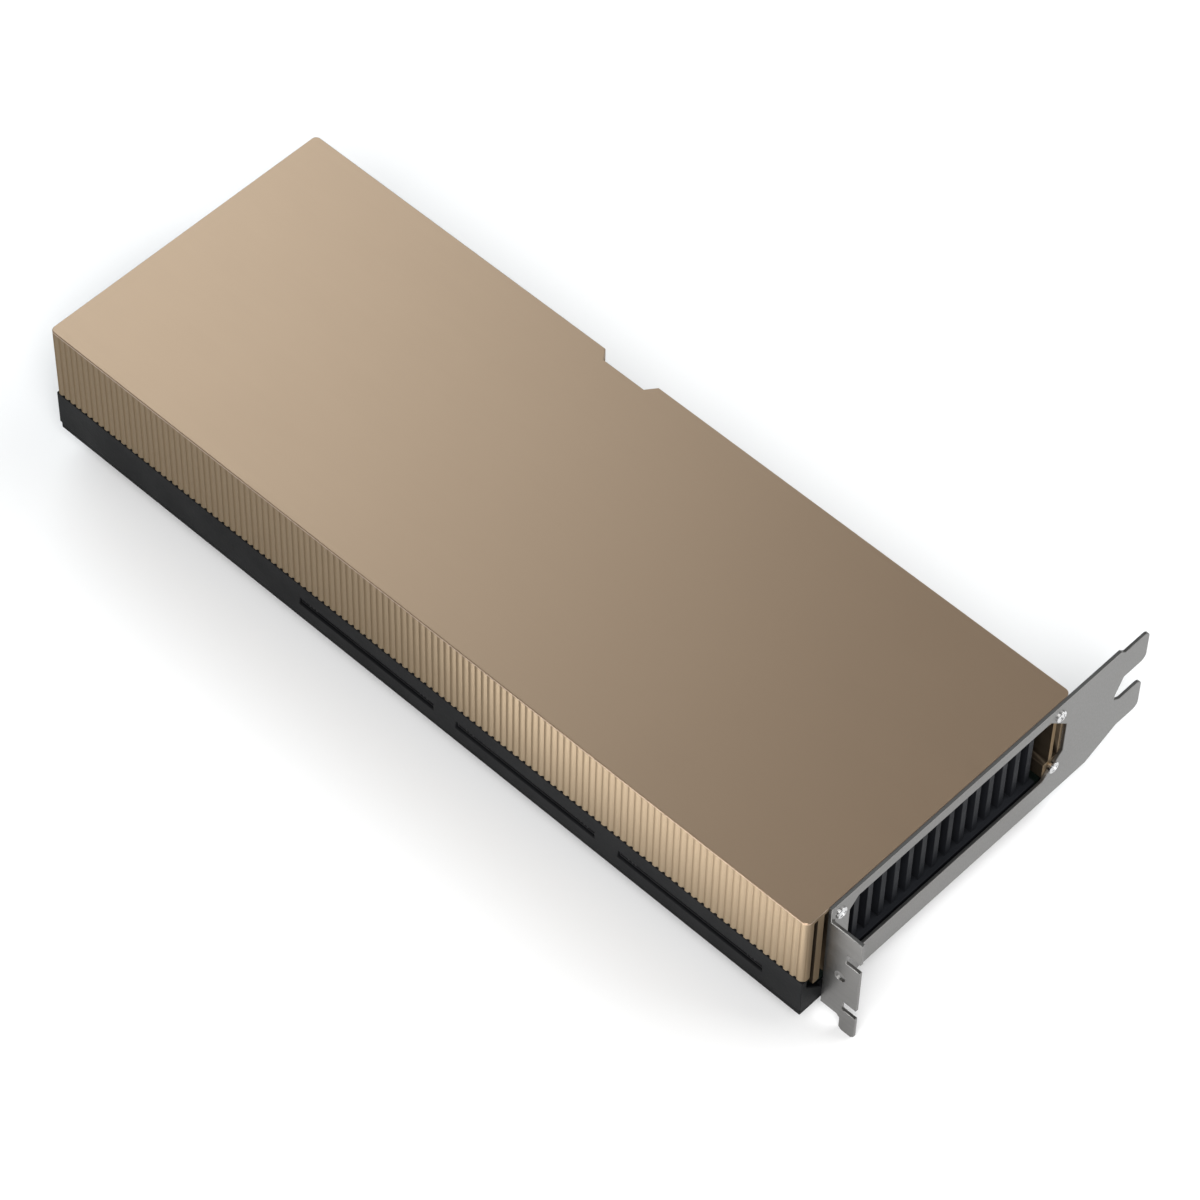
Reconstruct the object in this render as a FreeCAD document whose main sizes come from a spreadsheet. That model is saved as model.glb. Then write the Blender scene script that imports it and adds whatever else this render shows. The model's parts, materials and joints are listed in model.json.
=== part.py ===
import FreeCAD, Part
import os
import re
import Sketcher
from FreeCAD import Placement, Rotation, Vector

# Passive accelerator card for a server: a dual-slot, full-height card without a fan.
# Millimetres. +X points at the bracket end, +Y at the slot edge of the board, +Z up.
# The origin is the middle of the card's box, level with its lowest point, the bracket's foot tab.
# Sizes that a name calls depth or drop are measured downwards from the face they start at.

SIZES = [
    # whole card
    ("card_length", 267.0, "cover from its rear end to the bracket"),
    ("card_width", 97.0, "cover across its two ribbed sides"),
    ("card_thickness", 39.8, "top of the cover to the underside of the backplate"),
    ("foot_drop", 6.7, "reach of the bracket's foot tab below the backplate"),
    # cover
    ("cover_side_height", 25.3, "champagne side above the black frame"),
    ("cover_top", 1.5, "thickness of the cover's top"),
    ("corner_radius", 1.6, "upright corners of the cover"),
    ("cover_wall", 2.5, "thickness of its ribbed sides"),
    ("rib_pitch", 2.18, "spacing of the ribs"),
    ("rib_depth", 0.45, "depth of the grooves between the ribs"),
    ("groove_mouth", 1.3, "width of a groove at the surface"),
    ("groove_floor", 0.5, "width of a groove at its floor"),
    ("notch_setback", 149.5, "bracket end to the middle of the latch notch"),
    ("notch_mouth", 19.0, "latch notch at the cover's edge"),
    ("notch_floor", 14.3, "latch notch at its floor"),
    ("notch_depth", 3.1, "depth of the latch notch"),
    ("duct_gap", 1.4, "gap between a ribbed side and the duct wall inside it"),
    ("duct_wall", 2.2, "thickness of a duct wall"),
    ("duct_drop", 4.0, "reach of the duct walls below the ribbed sides"),
    ("post_length", 8.0, "screw posts along the card"),
    ("post_gap", 2.3, "gap between the near duct wall and the screw posts"),
    ("post_width", 5.2, "near screw posts across the card"),
    ("far_post_width", 5.0, "screw posts inside the far side"),
    ("post_setback", 31.0, "end of the cover to the middle of its inner posts"),
    ("near_post_setback", 65.6, "bracket end to the near inner post, between two bridge ports"),
    ("thread_radius", 1.0, "threaded holes in the posts"),
    ("thread_depth", 6.5, "their depth"),
    # frame and backplate
    ("frame_wall", 1.8, "walls of the black frame"),
    ("front_wall_height", 2.9, "low front wall of the frame"),
    ("front_gusset", 5.8, "slanted ends of that wall"),
    ("port_setback", 37.3, "bracket end to the middle of the first bridge port"),
    ("port_pitch", 56.65, "spacing of the bridge ports"),
    ("port_length", 48.5, "length of a bridge port"),
    ("port_height", 2.5, "height of a bridge port"),
    ("port_depth", 32.15, "top of the cover to the middle of the bridge ports"),
    ("port_count", 3.0, "bridge ports"),
    ("cap_recess", 0.8, "how deep a port cap sits"),
    ("bridge_inset", 2.5, "end of a port to the end of the connector behind it"),
    ("bridge_width", 5.2, "width of a bridge connector"),
    ("backplate_edge", 2.4, "height of the backplate's rim"),
    ("backplate_thickness", 1.2, "thickness of the backplate"),
    ("backplate_rim", 1.5, "width of its rim"),
    ("backplate_inset", 0.3, "how far its rim stands back from the frame"),
    # board
    ("board_depth", 34.8, "top of the cover to the component face of the board"),
    ("board_thickness", 1.57, "thickness of the board"),
    ("board_gap", 0.3, "gap between the board and the walls round it"),
    ("shoulder_rear", 152.0, "bracket end to the rear end of the wide part of the board"),
    ("shoulder_front", 44.0, "bracket end to its front end"),
    ("shoulder_reach", 2.5, "reach of that part beyond the cover"),
    ("tongue_front", 46.5, "bracket end to the front end of the contact tongue"),
    ("tongue_rear", 131.7, "bracket end to its rear end"),
    ("tongue_reach", 12.0, "reach of the contact tongue beyond the cover"),
    ("tongue_bevel", 1.3, "cut corners of the tongue"),
    ("key_setback", 59.05, "bracket end to the middle of the key notch"),
    ("key_width", 1.9, "width of the key notch"),
    ("key_depth", 8.2, "depth of the key notch"),
    ("hook_gap", 3.0, "gap between the tongue and the latch hook"),
    ("hook_leg", 3.5, "width of the hook's leg"),
    ("hook_length", 6.4, "length of the hook's foot"),
    ("hook_reach", 8.0, "reach of the hook beyond the cover"),
    ("hook_foot", 2.6, "height of the hook's foot"),
    ("contact_pitch", 1.0, "spacing of the edge contacts"),
    ("contact_width", 0.7, "width of an edge contact"),
    ("contact_length", 4.3, "length of an edge contact"),
    ("contact_setback", 1.4, "end of the tongue to the contacts"),
    ("contact_thickness", 0.1, "plating of an edge contact"),
    # processor package
    ("package_setback", 133.5, "bracket end to the middle of the processor"),
    ("package_size", 55.0, "side of the processor's carrier"),
    ("substrate_thickness", 1.2, "thickness of the carrier"),
    ("die_length", 25.0, "processor die along the card"),
    ("die_width", 32.0, "processor die across the card"),
    ("die_thickness", 0.7, "thickness of the die and the memory stacks"),
    ("memory_length", 9.5, "memory stack along the card"),
    ("memory_width", 10.3, "memory stack across the card"),
    ("chip_gap", 0.6, "gap between the dies"),
    ("stiffener_width", 4.0, "width of the stiffener ring"),
    ("stiffener_height", 0.5, "height of the stiffener ring"),
    ("cold_plate_size", 50.0, "side of the copper plate"),
    ("cold_plate_thickness", 0.5, "thickness of the copper plate"),
    # heatsink
    ("sink_rear", 24.5, "rear end of the cover to the heatsink"),
    ("sink_front_gap", 1.0, "gap between the heatsink and the bracket"),
    ("sink_base", 2.0, "thickness of the heatsink's base"),
    ("sink_near", 14.6, "near side of the cover to the heatsink"),
    ("sink_far", 8.6, "far side of the cover to the heatsink"),
    ("fin_setback", 1.2, "front end of the base to the fins"),
    ("first_fin", 16.3, "near side of the cover to the middle of the first fin"),
    ("fin_pitch", 5.0, "spacing of the fins"),
    ("fin_thickness", 1.9, "thickness of a fin"),
    ("fin_gap", 0.3, "gap between the fins and the cover's top"),
    ("sink_post_radius", 2.5, "round posts under the base"),
    # power parts
    ("coil_offset", 37.5, "middle of the processor to a row of inductors"),
    ("coil_length", 6.5, "inductor along the card"),
    ("coil_width", 7.0, "inductor across the card"),
    ("coil_height", 2.0, "height of an inductor"),
    ("coil_pitch", 8.4, "spacing of the inductors"),
    ("coils_a_row", 7.0, "inductors in a row"),
    ("stage_gap", 1.8, "gap between an inductor and its power stage"),
    ("stage_length", 5.0, "power stage along the card"),
    ("stage_width", 6.0, "power stage across the card"),
    ("stage_height", 0.8, "height of a power stage"),
    ("capacitor_radius", 3.5, "radius of an input capacitor"),
    ("capacitor_height", 9.0, "height of an input capacitor"),
    ("capacitor_pitch", 8.5, "spacing of the input capacitors"),
    ("first_capacitor", 43.0, "near side of the cover to the first of them"),
    ("capacitor_setback", 12.0, "rear end of the cover to their row"),
    ("capacitor_count", 5.0, "input capacitors"),
    ("socket_middle", 26.0, "near side of the cover to the middle of the power socket"),
    ("socket_width", 18.8, "width of the power socket"),
    ("socket_height", 9.3, "height of the power socket"),
    ("socket_length", 18.0, "length of the power socket"),
    ("cell_size", 3.4, "side of a socket cell"),
    ("cell_pitch", 4.2, "spacing of the cells"),
    ("cell_depth", 14.0, "depth of a cell"),
    ("pin_size", 1.0, "side of a pin"),
    ("pin_setback", 3.0, "mouth of the socket to the pins"),
    # rear plate
    ("rear_plate", 1.2, "thickness of the rear plate"),
    ("rear_plate_gap", 0.3, "gap between the rear plate and the cover"),
    ("inlet_near", 16.0, "near side of the cover to the first air inlet"),
    ("inlet_far", 9.5, "far side of the cover to the last air inlet"),
    ("inlet_count", 3.0, "air inlets"),
    ("inlet_strut", 4.0, "bars between the air inlets"),
    ("inlet_margin", 3.0, "plate above and below the air inlets"),
    ("rear_screw_inset", 4.0, "plate's edge to its screws"),
    ("rear_thread_radius", 1.25, "threaded holes for the rear support"),
    # bracket
    ("bracket_sheet", 1.0, "thickness of the bracket's sheet"),
    ("bracket_height", 38.5, "height of the bracket's plate"),
    ("bracket_step", 0.2, "top of the cover to the top of the plate"),
    ("bracket_reach", 126.8, "near side of the cover to the tips of the tongues"),
    ("plate_near", 7.7, "near side of the cover to the plate and its flange"),
    ("plate_shoulder", 11.3, "tips of the tongues to the end of the plate's top edge"),
    ("shoulder_run", 1.8, "slant from there down to the first tongue"),
    ("plate_taper", 20.0, "tips of the tongues to the end of its bottom edge"),
    ("leg_length", 8.5, "length of the tongues"),
    ("leg_width", 11.2, "width of the tongues"),
    ("leg_corner", 2.0, "rounded corners of the tongues"),
    ("leg_depth", 1.8, "top of the plate to the first tongue"),
    ("slot_pitch", 20.32, "spacing of the server's card slots"),
    ("window_near", 14.6, "near side of the cover to the window"),
    ("window_far", 95.8, "near side of the cover to the window's far end"),
    ("window_rail", 4.0, "plate above the window"),
    ("window_height", 25.3, "height of the window"),
    ("corner_cut", 3.0, "near corners of the window"),
    ("corner_gusset", 7.0, "screw corners at its far end"),
    ("flange_reach", 11.1, "cover's end to the outer edge of the flange"),
    ("flange_depth", 5.3, "top of the plate to the flange"),
    ("flange_height", 35.6, "height of the flange above its foot tab"),
    ("bend_radius", 0.8, "inside of the bend"),
    ("foot_width", 4.9, "width of the foot tab"),
    ("foot_corner", 0.9, "cut corners of the foot tab"),
    ("notch_drop", 15.4, "top of the plate to the first screw slot"),
    ("notch_height", 3.7, "height of a screw slot"),
    ("notch_reach", 4.4, "depth of a screw slot"),
    ("guide_hole_radius", 1.6, "round hole between the screw slots"),
    ("guide_hole_reach", 5.2, "cover's end to that hole"),
    ("guide_hole_drop", 24.4, "top of the plate to that hole"),
    # screws
    ("screw_near", 11.3, "near side of the cover to the near end screws"),
    ("screw_far", 92.6, "near side of the cover to the far end screws"),
    ("bracket_screw_top", 4.7, "top of the plate to the bracket's upper screws"),
    ("bracket_screw_drop", 26.3, "top of the plate to its lower screws"),
    ("screw_clearance", 0.25, "play of a screw in a plain hole"),
    ("shank_radius", 0.95, "shank of the end screws"),
    ("head_radius", 1.75, "head of the end screws"),
    ("head_height", 0.75, "height of that head"),
    ("sunk_head_radius", 2.1, "flat head of the bottom screws"),
    ("sunk_head_height", 0.8, "height of that head"),
    ("board_screw_setback", 34.0, "ends of the cover to the outer board screws"),
    ("board_screw_near", 17.0, "near side of the cover to the board screws"),
    ("board_screw_far", 80.0, "near side of the cover to the far board screws"),
    ("standoff_radius", 2.3, "radius of a board spacer"),
    ("retention_offset", 31.0, "middle of the processor to the retention screws"),
    ("retention_shank", 1.4, "shank of a retention screw"),
    ("retention_play", 0.05, "play of that shank in its thread"),
    ("retention_head", 2.8, "head of a retention screw"),
    ("retention_head_height", 1.0, "height of that head"),
    ("washer_bore", 1.7, "bore of a spring washer"),
    ("washer_width", 0.7, "width of its upper face"),
    ("washer_rise", 0.8, "height of its cone"),
]

doc = FreeCAD.newDocument("accelerator_card")
sheet = doc.addObject("Spreadsheet::Sheet", "Sizes")
for row, (alias, number, meaning) in enumerate(SIZES, start=1):
    sheet.set("A%d" % row, meaning)
    sheet.set("B%d" % row, str(number))
    sheet.setAlias("B%d" % row, alias)
doc.recompute()

ALIAS = re.compile(r"\b(" + "|".join(alias for alias, number, meaning in SIZES) + r")\b")
nodes = []


def bound(rule):
    """A rule in plain size names, as an expression on the sheet."""
    return ALIAS.sub(r"Sizes.\1", rule)


def value(rule):
    """What a rule comes to with the present sizes."""
    result = sheet.evalExpression(bound(rule))
    return float(getattr(result, "Value", result))


# Places that several pieces share, as rules on the sizes.
X_REAR = "(-(card_length + flange_reach) / 2)"
X_FRONT = "(card_length - (card_length + flange_reach) / 2)"
Y_NEAR = "(-bracket_reach / 2)"
Y_FAR = "(card_width - bracket_reach / 2)"
Z_TOP = "(foot_drop + card_thickness)"
Z_SEAM = "(foot_drop + card_thickness - cover_side_height)"
Z_FRAME = "(foot_drop + backplate_edge)"
Z_BOARD = "(foot_drop + card_thickness - board_depth)"
Z_UNDER = "(foot_drop + card_thickness - board_depth - board_thickness)"
PACKAGE_HEIGHT = "(substrate_thickness + die_thickness + cold_plate_thickness)"
Z_SINK = "(foot_drop + card_thickness - board_depth + %s)" % PACKAGE_HEIGHT
X_PACKAGE = "(%s - package_setback)" % X_FRONT
Y_PACKAGE = "(%s + card_width / 2)" % Y_NEAR
Z_BRACKET = "(foot_drop + card_thickness - bracket_step - bracket_height)"
FRAME_HEIGHT = "(card_thickness - cover_side_height - backplate_edge)"
SPACER_HEIGHT = "(card_thickness - board_depth - board_thickness - backplate_thickness)"
CEILING = "(cover_side_height - cover_top)"
DUCT_NEAR = "(cover_wall + duct_gap)"
DUCT_FACE = "(cover_wall + duct_gap + duct_wall)"


def bind(item, prop, rule):
    """Ties one property of a document object to the sheet."""
    item.setExpression(prop, bound(rule))


def place(item, x, y, z):
    """Ties the place of a piece to the sheet."""
    bind(item, "Placement.Base.x", x)
    bind(item, "Placement.Base.y", y)
    bind(item, "Placement.Base.z", z)


def node(item, label):
    """Names a finished piece, which is written to a file of that name."""
    item.Label = label
    nodes.append(item)
    return item


def block(x, y, z, length, width, height):
    """A box from its lowest corner."""
    item = doc.addObject("Part::Box", "block")
    place(item, x, y, z)
    bind(item, "Length", length)
    bind(item, "Width", width)
    bind(item, "Height", height)
    return item


def rod(x, y, z, radius, length, turn=None):
    """A cylinder from the middle of its first end, along +Z or turned by the rotation given."""
    item = doc.addObject("Part::Cylinder", "rod")
    if turn is not None:
        item.Placement = Placement(Vector(), turn)
    place(item, x, y, z)
    bind(item, "Radius", radius)
    bind(item, "Height", length)
    return item


def group(pieces):
    """Separate solids that are one node."""
    item = doc.addObject("Part::Compound", "group")
    item.Links = pieces
    return item


def join(pieces):
    """Touching solids made into one."""
    item = doc.addObject("Part::MultiFuse", "join")
    item.Shapes = pieces
    return item


def cut(base, tool):
    """One solid less another."""
    item = doc.addObject("Part::Cut", "cut")
    item.Base = base
    item.Tool = tool
    return item


def new_body(label, x, y, z):
    """An empty body whose own origin is at the place given."""
    body = doc.addObject("PartDesign::Body", label)
    place(body, x, y, z)
    return node(body, label)


def new_sketch(body, role, lift=None):
    """An empty sketch on one of the body's own planes, or lifted off it along its normal."""
    sketch = body.newObject("Sketcher::SketchObject", "outline")
    plane = next(item for item in body.Origin.OriginFeatures if item.Role == role)
    sketch.AttachmentSupport = [(plane, "")]
    sketch.MapMode = "FlatFace"
    if lift is not None:
        bind(sketch, "AttachmentOffset.Base.z", lift)
    return sketch


def hold_point(sketch, curve, end, across, along):
    """Holds one point of a sketch by its two distances from the origin."""
    for kind, rule in (("DistanceX", across), ("DistanceY", along)):
        index = sketch.addConstraint(Sketcher.Constraint(kind, -1, 1, curve, end, value(rule)))
        name = "%s_%d" % (kind, index)
        sketch.renameConstraint(index, name)
        bind(sketch, "Constraints." + name, rule)


def polygon(sketch, corners):
    """A closed straight-sided loop through the corners, given as pairs of rules."""
    first = sketch.GeometryCount
    count = len(corners)
    points = [Vector(value(across), value(along), 0) for across, along in corners]
    for index in range(count):
        line = Part.LineSegment(points[index], points[(index + 1) % count])
        sketch.addGeometry(line, False)
    for index in range(count):
        following = first + (index + 1) % count
        sketch.addConstraint(Sketcher.Constraint("Coincident", first + index, 2, following, 1))
    for index, (across, along) in enumerate(corners):
        hold_point(sketch, first + index, 1, across, along)


def rectangle(sketch, left, right, low, high):
    """A rectangle between four rules."""
    polygon(sketch, [(left, low), (right, low), (right, high), (left, high)])


def circle(sketch, across, along, radius):
    """A circle held by its middle and radius."""
    middle = Vector(value(across), value(along), 0)
    curve = sketch.addGeometry(Part.Circle(middle, Vector(0, 0, 1), value(radius)), False)
    hold_point(sketch, curve, 3, across, along)
    index = sketch.addConstraint(Sketcher.Constraint("Radius", curve, value(radius)))
    name = "Radius_%d" % index
    sketch.renameConstraint(index, name)
    bind(sketch, "Constraints." + name, radius)


def pad(body, sketch, length, against=False):
    """Adds the sketch's loops as solid, along the sketch's normal or against it."""
    feature = body.newObject("PartDesign::Pad", "pad")
    feature.Profile = sketch
    bind(feature, "Length", length)
    feature.Reversed = against
    doc.recompute()
    return feature


def pocket(body, sketch, depth=None, along=False):
    """Cuts the sketch's loops, through all or to a depth against the normal or along it."""
    feature = body.newObject("PartDesign::Pocket", "pocket")
    feature.Profile = sketch
    if depth is None:
        feature.Type = "ThroughAll"
        feature.Midplane = True
    else:
        bind(feature, "Length", depth)
        feature.Reversed = along
    doc.recompute()
    return feature


def repeat(body, feature, sketch, axis, count, pitch, backwards=False):
    """Repeats a feature in a line along an axis of its sketch."""
    pattern = body.newObject("PartDesign::LinearPattern", "repeat")
    pattern.Originals = [feature]
    pattern.Direction = (sketch, [axis])
    pattern.Reversed = backwards
    bind(pattern, "Occurrences", count)
    bind(pattern, "Length", "(%s) * ((%s) - 1)" % (pitch, count))
    body.Tip = pattern
    doc.recompute()
    return pattern


def round_edges(body, base, radius, picked):
    """Rounds the edges of the body whose middles the test picks."""
    names = []
    for index, edge in enumerate(base.Shape.Edges, start=1):
        middle = edge.valueAt((edge.FirstParameter + edge.LastParameter) / 2)
        if picked(edge, middle):
            names.append("Edge%d" % index)
    feature = body.newObject("PartDesign::Fillet", "rounding")
    feature.Base = (base, names)
    bind(feature, "Radius", radius)
    body.Tip = feature
    doc.recompute()
    return feature


# Middles of the cover's screw posts along the card, from its rear end.
END_POSTS = ["(rear_plate + post_length / 2)", "(card_length - post_length / 2)"]
NEAR_POSTS = ["post_setback", "(card_length - near_post_setback)"]
FAR_POSTS = ["post_setback", "(card_length - post_setback)"]
# Their two sides across the card, and the line of their bottom screws.
NEAR_SPAN = ("(%s + post_gap)" % DUCT_FACE, "(%s + post_gap + post_width)" % DUCT_FACE)
FAR_SPAN = ("(card_width - cover_wall - far_post_width)", "(card_width - cover_wall)")
NEAR_LINE = "(%s + post_gap + post_width / 2)" % DUCT_FACE
FAR_LINE = "(card_width - cover_wall - far_post_width / 2)"
POST_SCREWS = [(post, NEAR_LINE) for post in NEAR_POSTS] + [(post, FAR_LINE) for post in FAR_POSTS]


def make_cover():
    """The champagne shroud: top, ribbed sides with the latch notch, duct walls and screw posts."""
    body = new_body("cover", X_REAR, Y_NEAR, Z_SEAM)
    middle = "(card_length - notch_setback)"
    plan = new_sketch(body, "XY_Plane")
    polygon(plan, [
        ("0", "0"),
        ("card_length", "0"),
        ("card_length", "card_width"),
        (middle + " + notch_mouth / 2", "card_width"),
        (middle + " + notch_floor / 2", "card_width - notch_depth"),
        (middle + " - notch_floor / 2", "card_width - notch_depth"),
        (middle + " - notch_mouth / 2", "card_width"),
        ("0", "card_width"),
    ])
    solid = pad(body, plan, "cover_side_height")
    length = value("card_length")
    width = value("card_width")

    def upright_corner(edge, middle):
        """The four upright corners of the cover."""
        upright = abs(edge.tangentAt(edge.FirstParameter).z) > 0.99
        at_end = min(abs(middle.x), abs(middle.x - length)) < 0.01
        return upright and at_end and min(abs(middle.y), abs(middle.y - width)) < 0.01

    round_edges(body, solid, "corner_radius", upright_corner)
    inside = new_sketch(body, "XY_Plane")
    inner_far = "card_width - cover_wall"
    polygon(inside, [
        ("-cover_wall", "cover_wall"),
        ("card_length + cover_wall", "cover_wall"),
        ("card_length + cover_wall", inner_far),
        (middle + " + notch_mouth / 2 + cover_wall / 2", inner_far),
        (middle + " + notch_floor / 2 + cover_wall / 2", inner_far + " - notch_depth"),
        (middle + " - notch_floor / 2 - cover_wall / 2", inner_far + " - notch_depth"),
        (middle + " - notch_mouth / 2 - cover_wall / 2", inner_far),
        ("-cover_wall", inner_far),
    ])
    pocket(body, inside, CEILING, along=True)
    rib_count = "floor((card_length - 2 * corner_radius) / rib_pitch)"
    first_groove = "((card_length - (%s - 1) * rib_pitch) / 2)" % rib_count
    groove = new_sketch(body, "XY_Plane")
    for edge, inward in (("0", "+"), ("card_width", "-")):
        outward = "-" if inward == "+" else "+"
        polygon(groove, [
            (first_groove + " - groove_mouth / 2", edge + outward + " rib_depth"),
            (first_groove + " + groove_mouth / 2", edge + outward + " rib_depth"),
            (first_groove + " + groove_mouth / 2", edge),
            (first_groove + " + groove_floor / 2", edge + inward + " rib_depth"),
            (first_groove + " - groove_floor / 2", edge + inward + " rib_depth"),
            (first_groove + " - groove_mouth / 2", edge),
        ])
    one_groove = pocket(body, groove)
    repeat(body, one_groove, groove, "H_Axis", rib_count, "rib_pitch")
    ducts = new_sketch(body, "XY_Plane", "-duct_drop")
    rectangle(ducts, "rear_plate", "card_length", DUCT_NEAR, DUCT_FACE)
    rectangle(ducts, "rear_plate", "card_length",
              "card_width - %s" % DUCT_FACE, "card_width - %s" % DUCT_NEAR)
    pad(body, ducts, "%s + duct_drop" % CEILING)
    posts = new_sketch(body, "XY_Plane", "-duct_drop")
    for row, (low, high) in ((NEAR_POSTS, NEAR_SPAN), (FAR_POSTS, FAR_SPAN)):
        for post in END_POSTS + row:
            rectangle(posts, post + " - post_length / 2", post + " + post_length / 2", low, high)
    pad(body, posts, "%s + duct_drop" % CEILING)
    bottom_threads = new_sketch(body, "XY_Plane", "-duct_drop")
    for along, across in POST_SCREWS:
        circle(bottom_threads, along, across, "thread_radius")
    pocket(body, bottom_threads, "thread_depth", along=True)
    front_threads = new_sketch(body, "YZ_Plane", "card_length")
    for across in ("screw_near", "screw_far"):
        for down in ("bracket_screw_top", "bracket_screw_drop"):
            circle(front_threads, across, "cover_side_height - bracket_step - " + down, "thread_radius")
    pocket(body, front_threads, "thread_depth")
    rear_threads = new_sketch(body, "YZ_Plane", "rear_plate")
    for across in ("screw_near", "screw_far"):
        for up in REAR_SCREW_LEVELS:
            circle(rear_threads, across, up, "thread_radius")
        circle(rear_threads, across, "cover_side_height / 2", "rear_thread_radius + screw_clearance")
    pocket(body, rear_threads, "thread_depth", along=True)
    return body


# Heights of the rear plate's screws above the seam of the cover.
REAR_SCREW_LEVELS = [
    "rear_screw_inset",
    "(cover_side_height - cover_top - rear_screw_inset)",
]


def make_base_frame():
    """The black frame: two long walls, a rear wall, a low front wall, lugs and bridge ports."""
    body = new_body("base_frame", X_REAR, Y_NEAR, Z_FRAME)
    walls = new_sketch(body, "XY_Plane")
    polygon(walls, [
        ("0", "0"),
        ("card_length", "0"),
        ("card_length", "frame_wall"),
        ("frame_wall", "frame_wall"),
        ("frame_wall", "card_width - frame_wall"),
        ("card_length", "card_width - frame_wall"),
        ("card_length", "card_width"),
        ("0", "card_width"),
    ])
    pad(body, walls, FRAME_HEIGHT)
    front = new_sketch(body, "YZ_Plane", "card_length")
    polygon(front, [
        ("frame_wall", "0"),
        ("card_width - frame_wall", "0"),
        ("card_width - frame_wall", "front_wall_height + front_gusset"),
        ("card_width - frame_wall - front_gusset", "front_wall_height"),
        ("frame_wall + front_gusset", "front_wall_height"),
        ("frame_wall", "front_wall_height + front_gusset"),
    ])
    pad(body, front, "frame_wall", against=True)
    lugs = new_sketch(body, "XY_Plane")
    for row, low, high in ((NEAR_POSTS, "frame_wall", NEAR_SPAN[1]),
                           (FAR_POSTS, FAR_SPAN[0], "card_width - frame_wall")):
        for post in row:
            rectangle(lugs, post + " - post_length / 2", post + " + post_length / 2", low, high)
    pad(body, lugs, "%s - duct_drop" % FRAME_HEIGHT)
    holes = new_sketch(body, "XY_Plane")
    for along, across in POST_SCREWS:
        circle(holes, along, across, "shank_radius + screw_clearance")
    pocket(body, holes)
    port = new_sketch(body, "XZ_Plane")
    port_middle = "(card_length - port_setback)"
    port_level = "(card_thickness - backplate_edge - port_depth)"
    rectangle(port, port_middle + " - port_length / 2", port_middle + " + port_length / 2",
              port_level + " - port_height / 2", port_level + " + port_height / 2")
    one_port = pocket(body, port, "frame_wall")
    repeat(body, one_port, port, "H_Axis", "port_count", "port_pitch", backwards=True)
    mouth = new_sketch(body, "XY_Plane")
    rectangle(mouth, "card_length - shoulder_rear - board_gap", "card_length - shoulder_front + board_gap",
              "card_width - frame_wall", "card_width + frame_wall")
    pocket(body, mouth, "card_thickness - backplate_edge - board_depth + board_gap", along=True)
    socket = new_sketch(body, "YZ_Plane")
    rectangle(socket, "socket_middle - socket_width / 2 - board_gap",
              "socket_middle + socket_width / 2 + board_gap",
              "card_thickness - backplate_edge - board_depth", FRAME_HEIGHT + " + frame_wall")
    pocket(body, socket, "frame_wall", along=True)
    return body


def make_port_caps():
    """The dark caps that close the three bridge ports."""
    caps = []
    for index in range(int(value("port_count"))):
        left = "%s - port_setback - %d * port_pitch - port_length / 2" % (X_FRONT, index)
        caps.append(block(left, Y_NEAR + " + cap_recess", Z_TOP + " - port_depth - port_height / 2",
                          "port_length", "frame_wall - cap_recess", "port_height"))
    return node(group(caps), "bridge_port_caps")


def make_bridge_connectors():
    """The connectors on the board behind the caps."""
    blocks = []
    for index in range(int(value("port_count"))):
        left = "%s - port_setback - %d * port_pitch - port_length / 2 + bridge_inset" % (X_FRONT, index)
        blocks.append(block(left, Y_NEAR + " + frame_wall", Z_BOARD, "port_length - 2 * bridge_inset",
                            "bridge_width", "board_depth - port_depth + port_height / 2"))
    return node(group(blocks), "bridge_connectors")


# Middles of the board screws along and across the card, from its rear end and near side.
BOARD_SCREWS = [
    (along, across)
    for along in ("board_screw_setback", "(card_length / 2)", "(card_length - board_screw_setback)")
    for across in ("board_screw_near", "board_screw_far")
]
# Middles of the retention screws, from the same corner.
RETENTION_SCREWS = [
    ("(card_length - package_setback %s retention_offset)" % along,
     "(card_width / 2 %s retention_offset)" % across)
    for along in ("-", "+")
    for across in ("-", "+")
]


def make_backplate():
    """The black bottom plate with its rim and screw holes."""
    body = new_body("backplate", X_REAR, Y_NEAR, "foot_drop")
    plan = new_sketch(body, "XY_Plane")
    rectangle(plan, "backplate_inset", "card_length - backplate_inset",
              "backplate_inset", "card_width - backplate_inset")
    pad(body, plan, "backplate_edge")
    inside = new_sketch(body, "XY_Plane", "backplate_thickness")
    rim = "(backplate_inset + backplate_rim)"
    rectangle(inside, rim, "card_length - " + rim, rim, "card_width - " + rim)
    pocket(body, inside, "backplate_edge - backplate_thickness", along=True)
    lands = new_sketch(body, "XY_Plane")
    for row, low, high in ((NEAR_POSTS, rim, NEAR_SPAN[1]),
                           (FAR_POSTS, FAR_SPAN[0], "card_width - " + rim)):
        for post in row:
            rectangle(lands, post + " - post_length / 2", post + " + post_length / 2", low, high)
    pad(body, lands, "backplate_edge")
    bores = new_sketch(body, "XY_Plane")
    sinks = new_sketch(body, "XY_Plane")
    for along, across in BOARD_SCREWS + POST_SCREWS:
        circle(bores, along, across, "shank_radius + screw_clearance")
        circle(sinks, along, across, "sunk_head_radius + screw_clearance")
    for along, across in RETENTION_SCREWS:
        circle(bores, along, across, "retention_head + screw_clearance")
    pocket(body, sinks, "sunk_head_height", along=True)
    pocket(body, bores)
    return body


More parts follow.
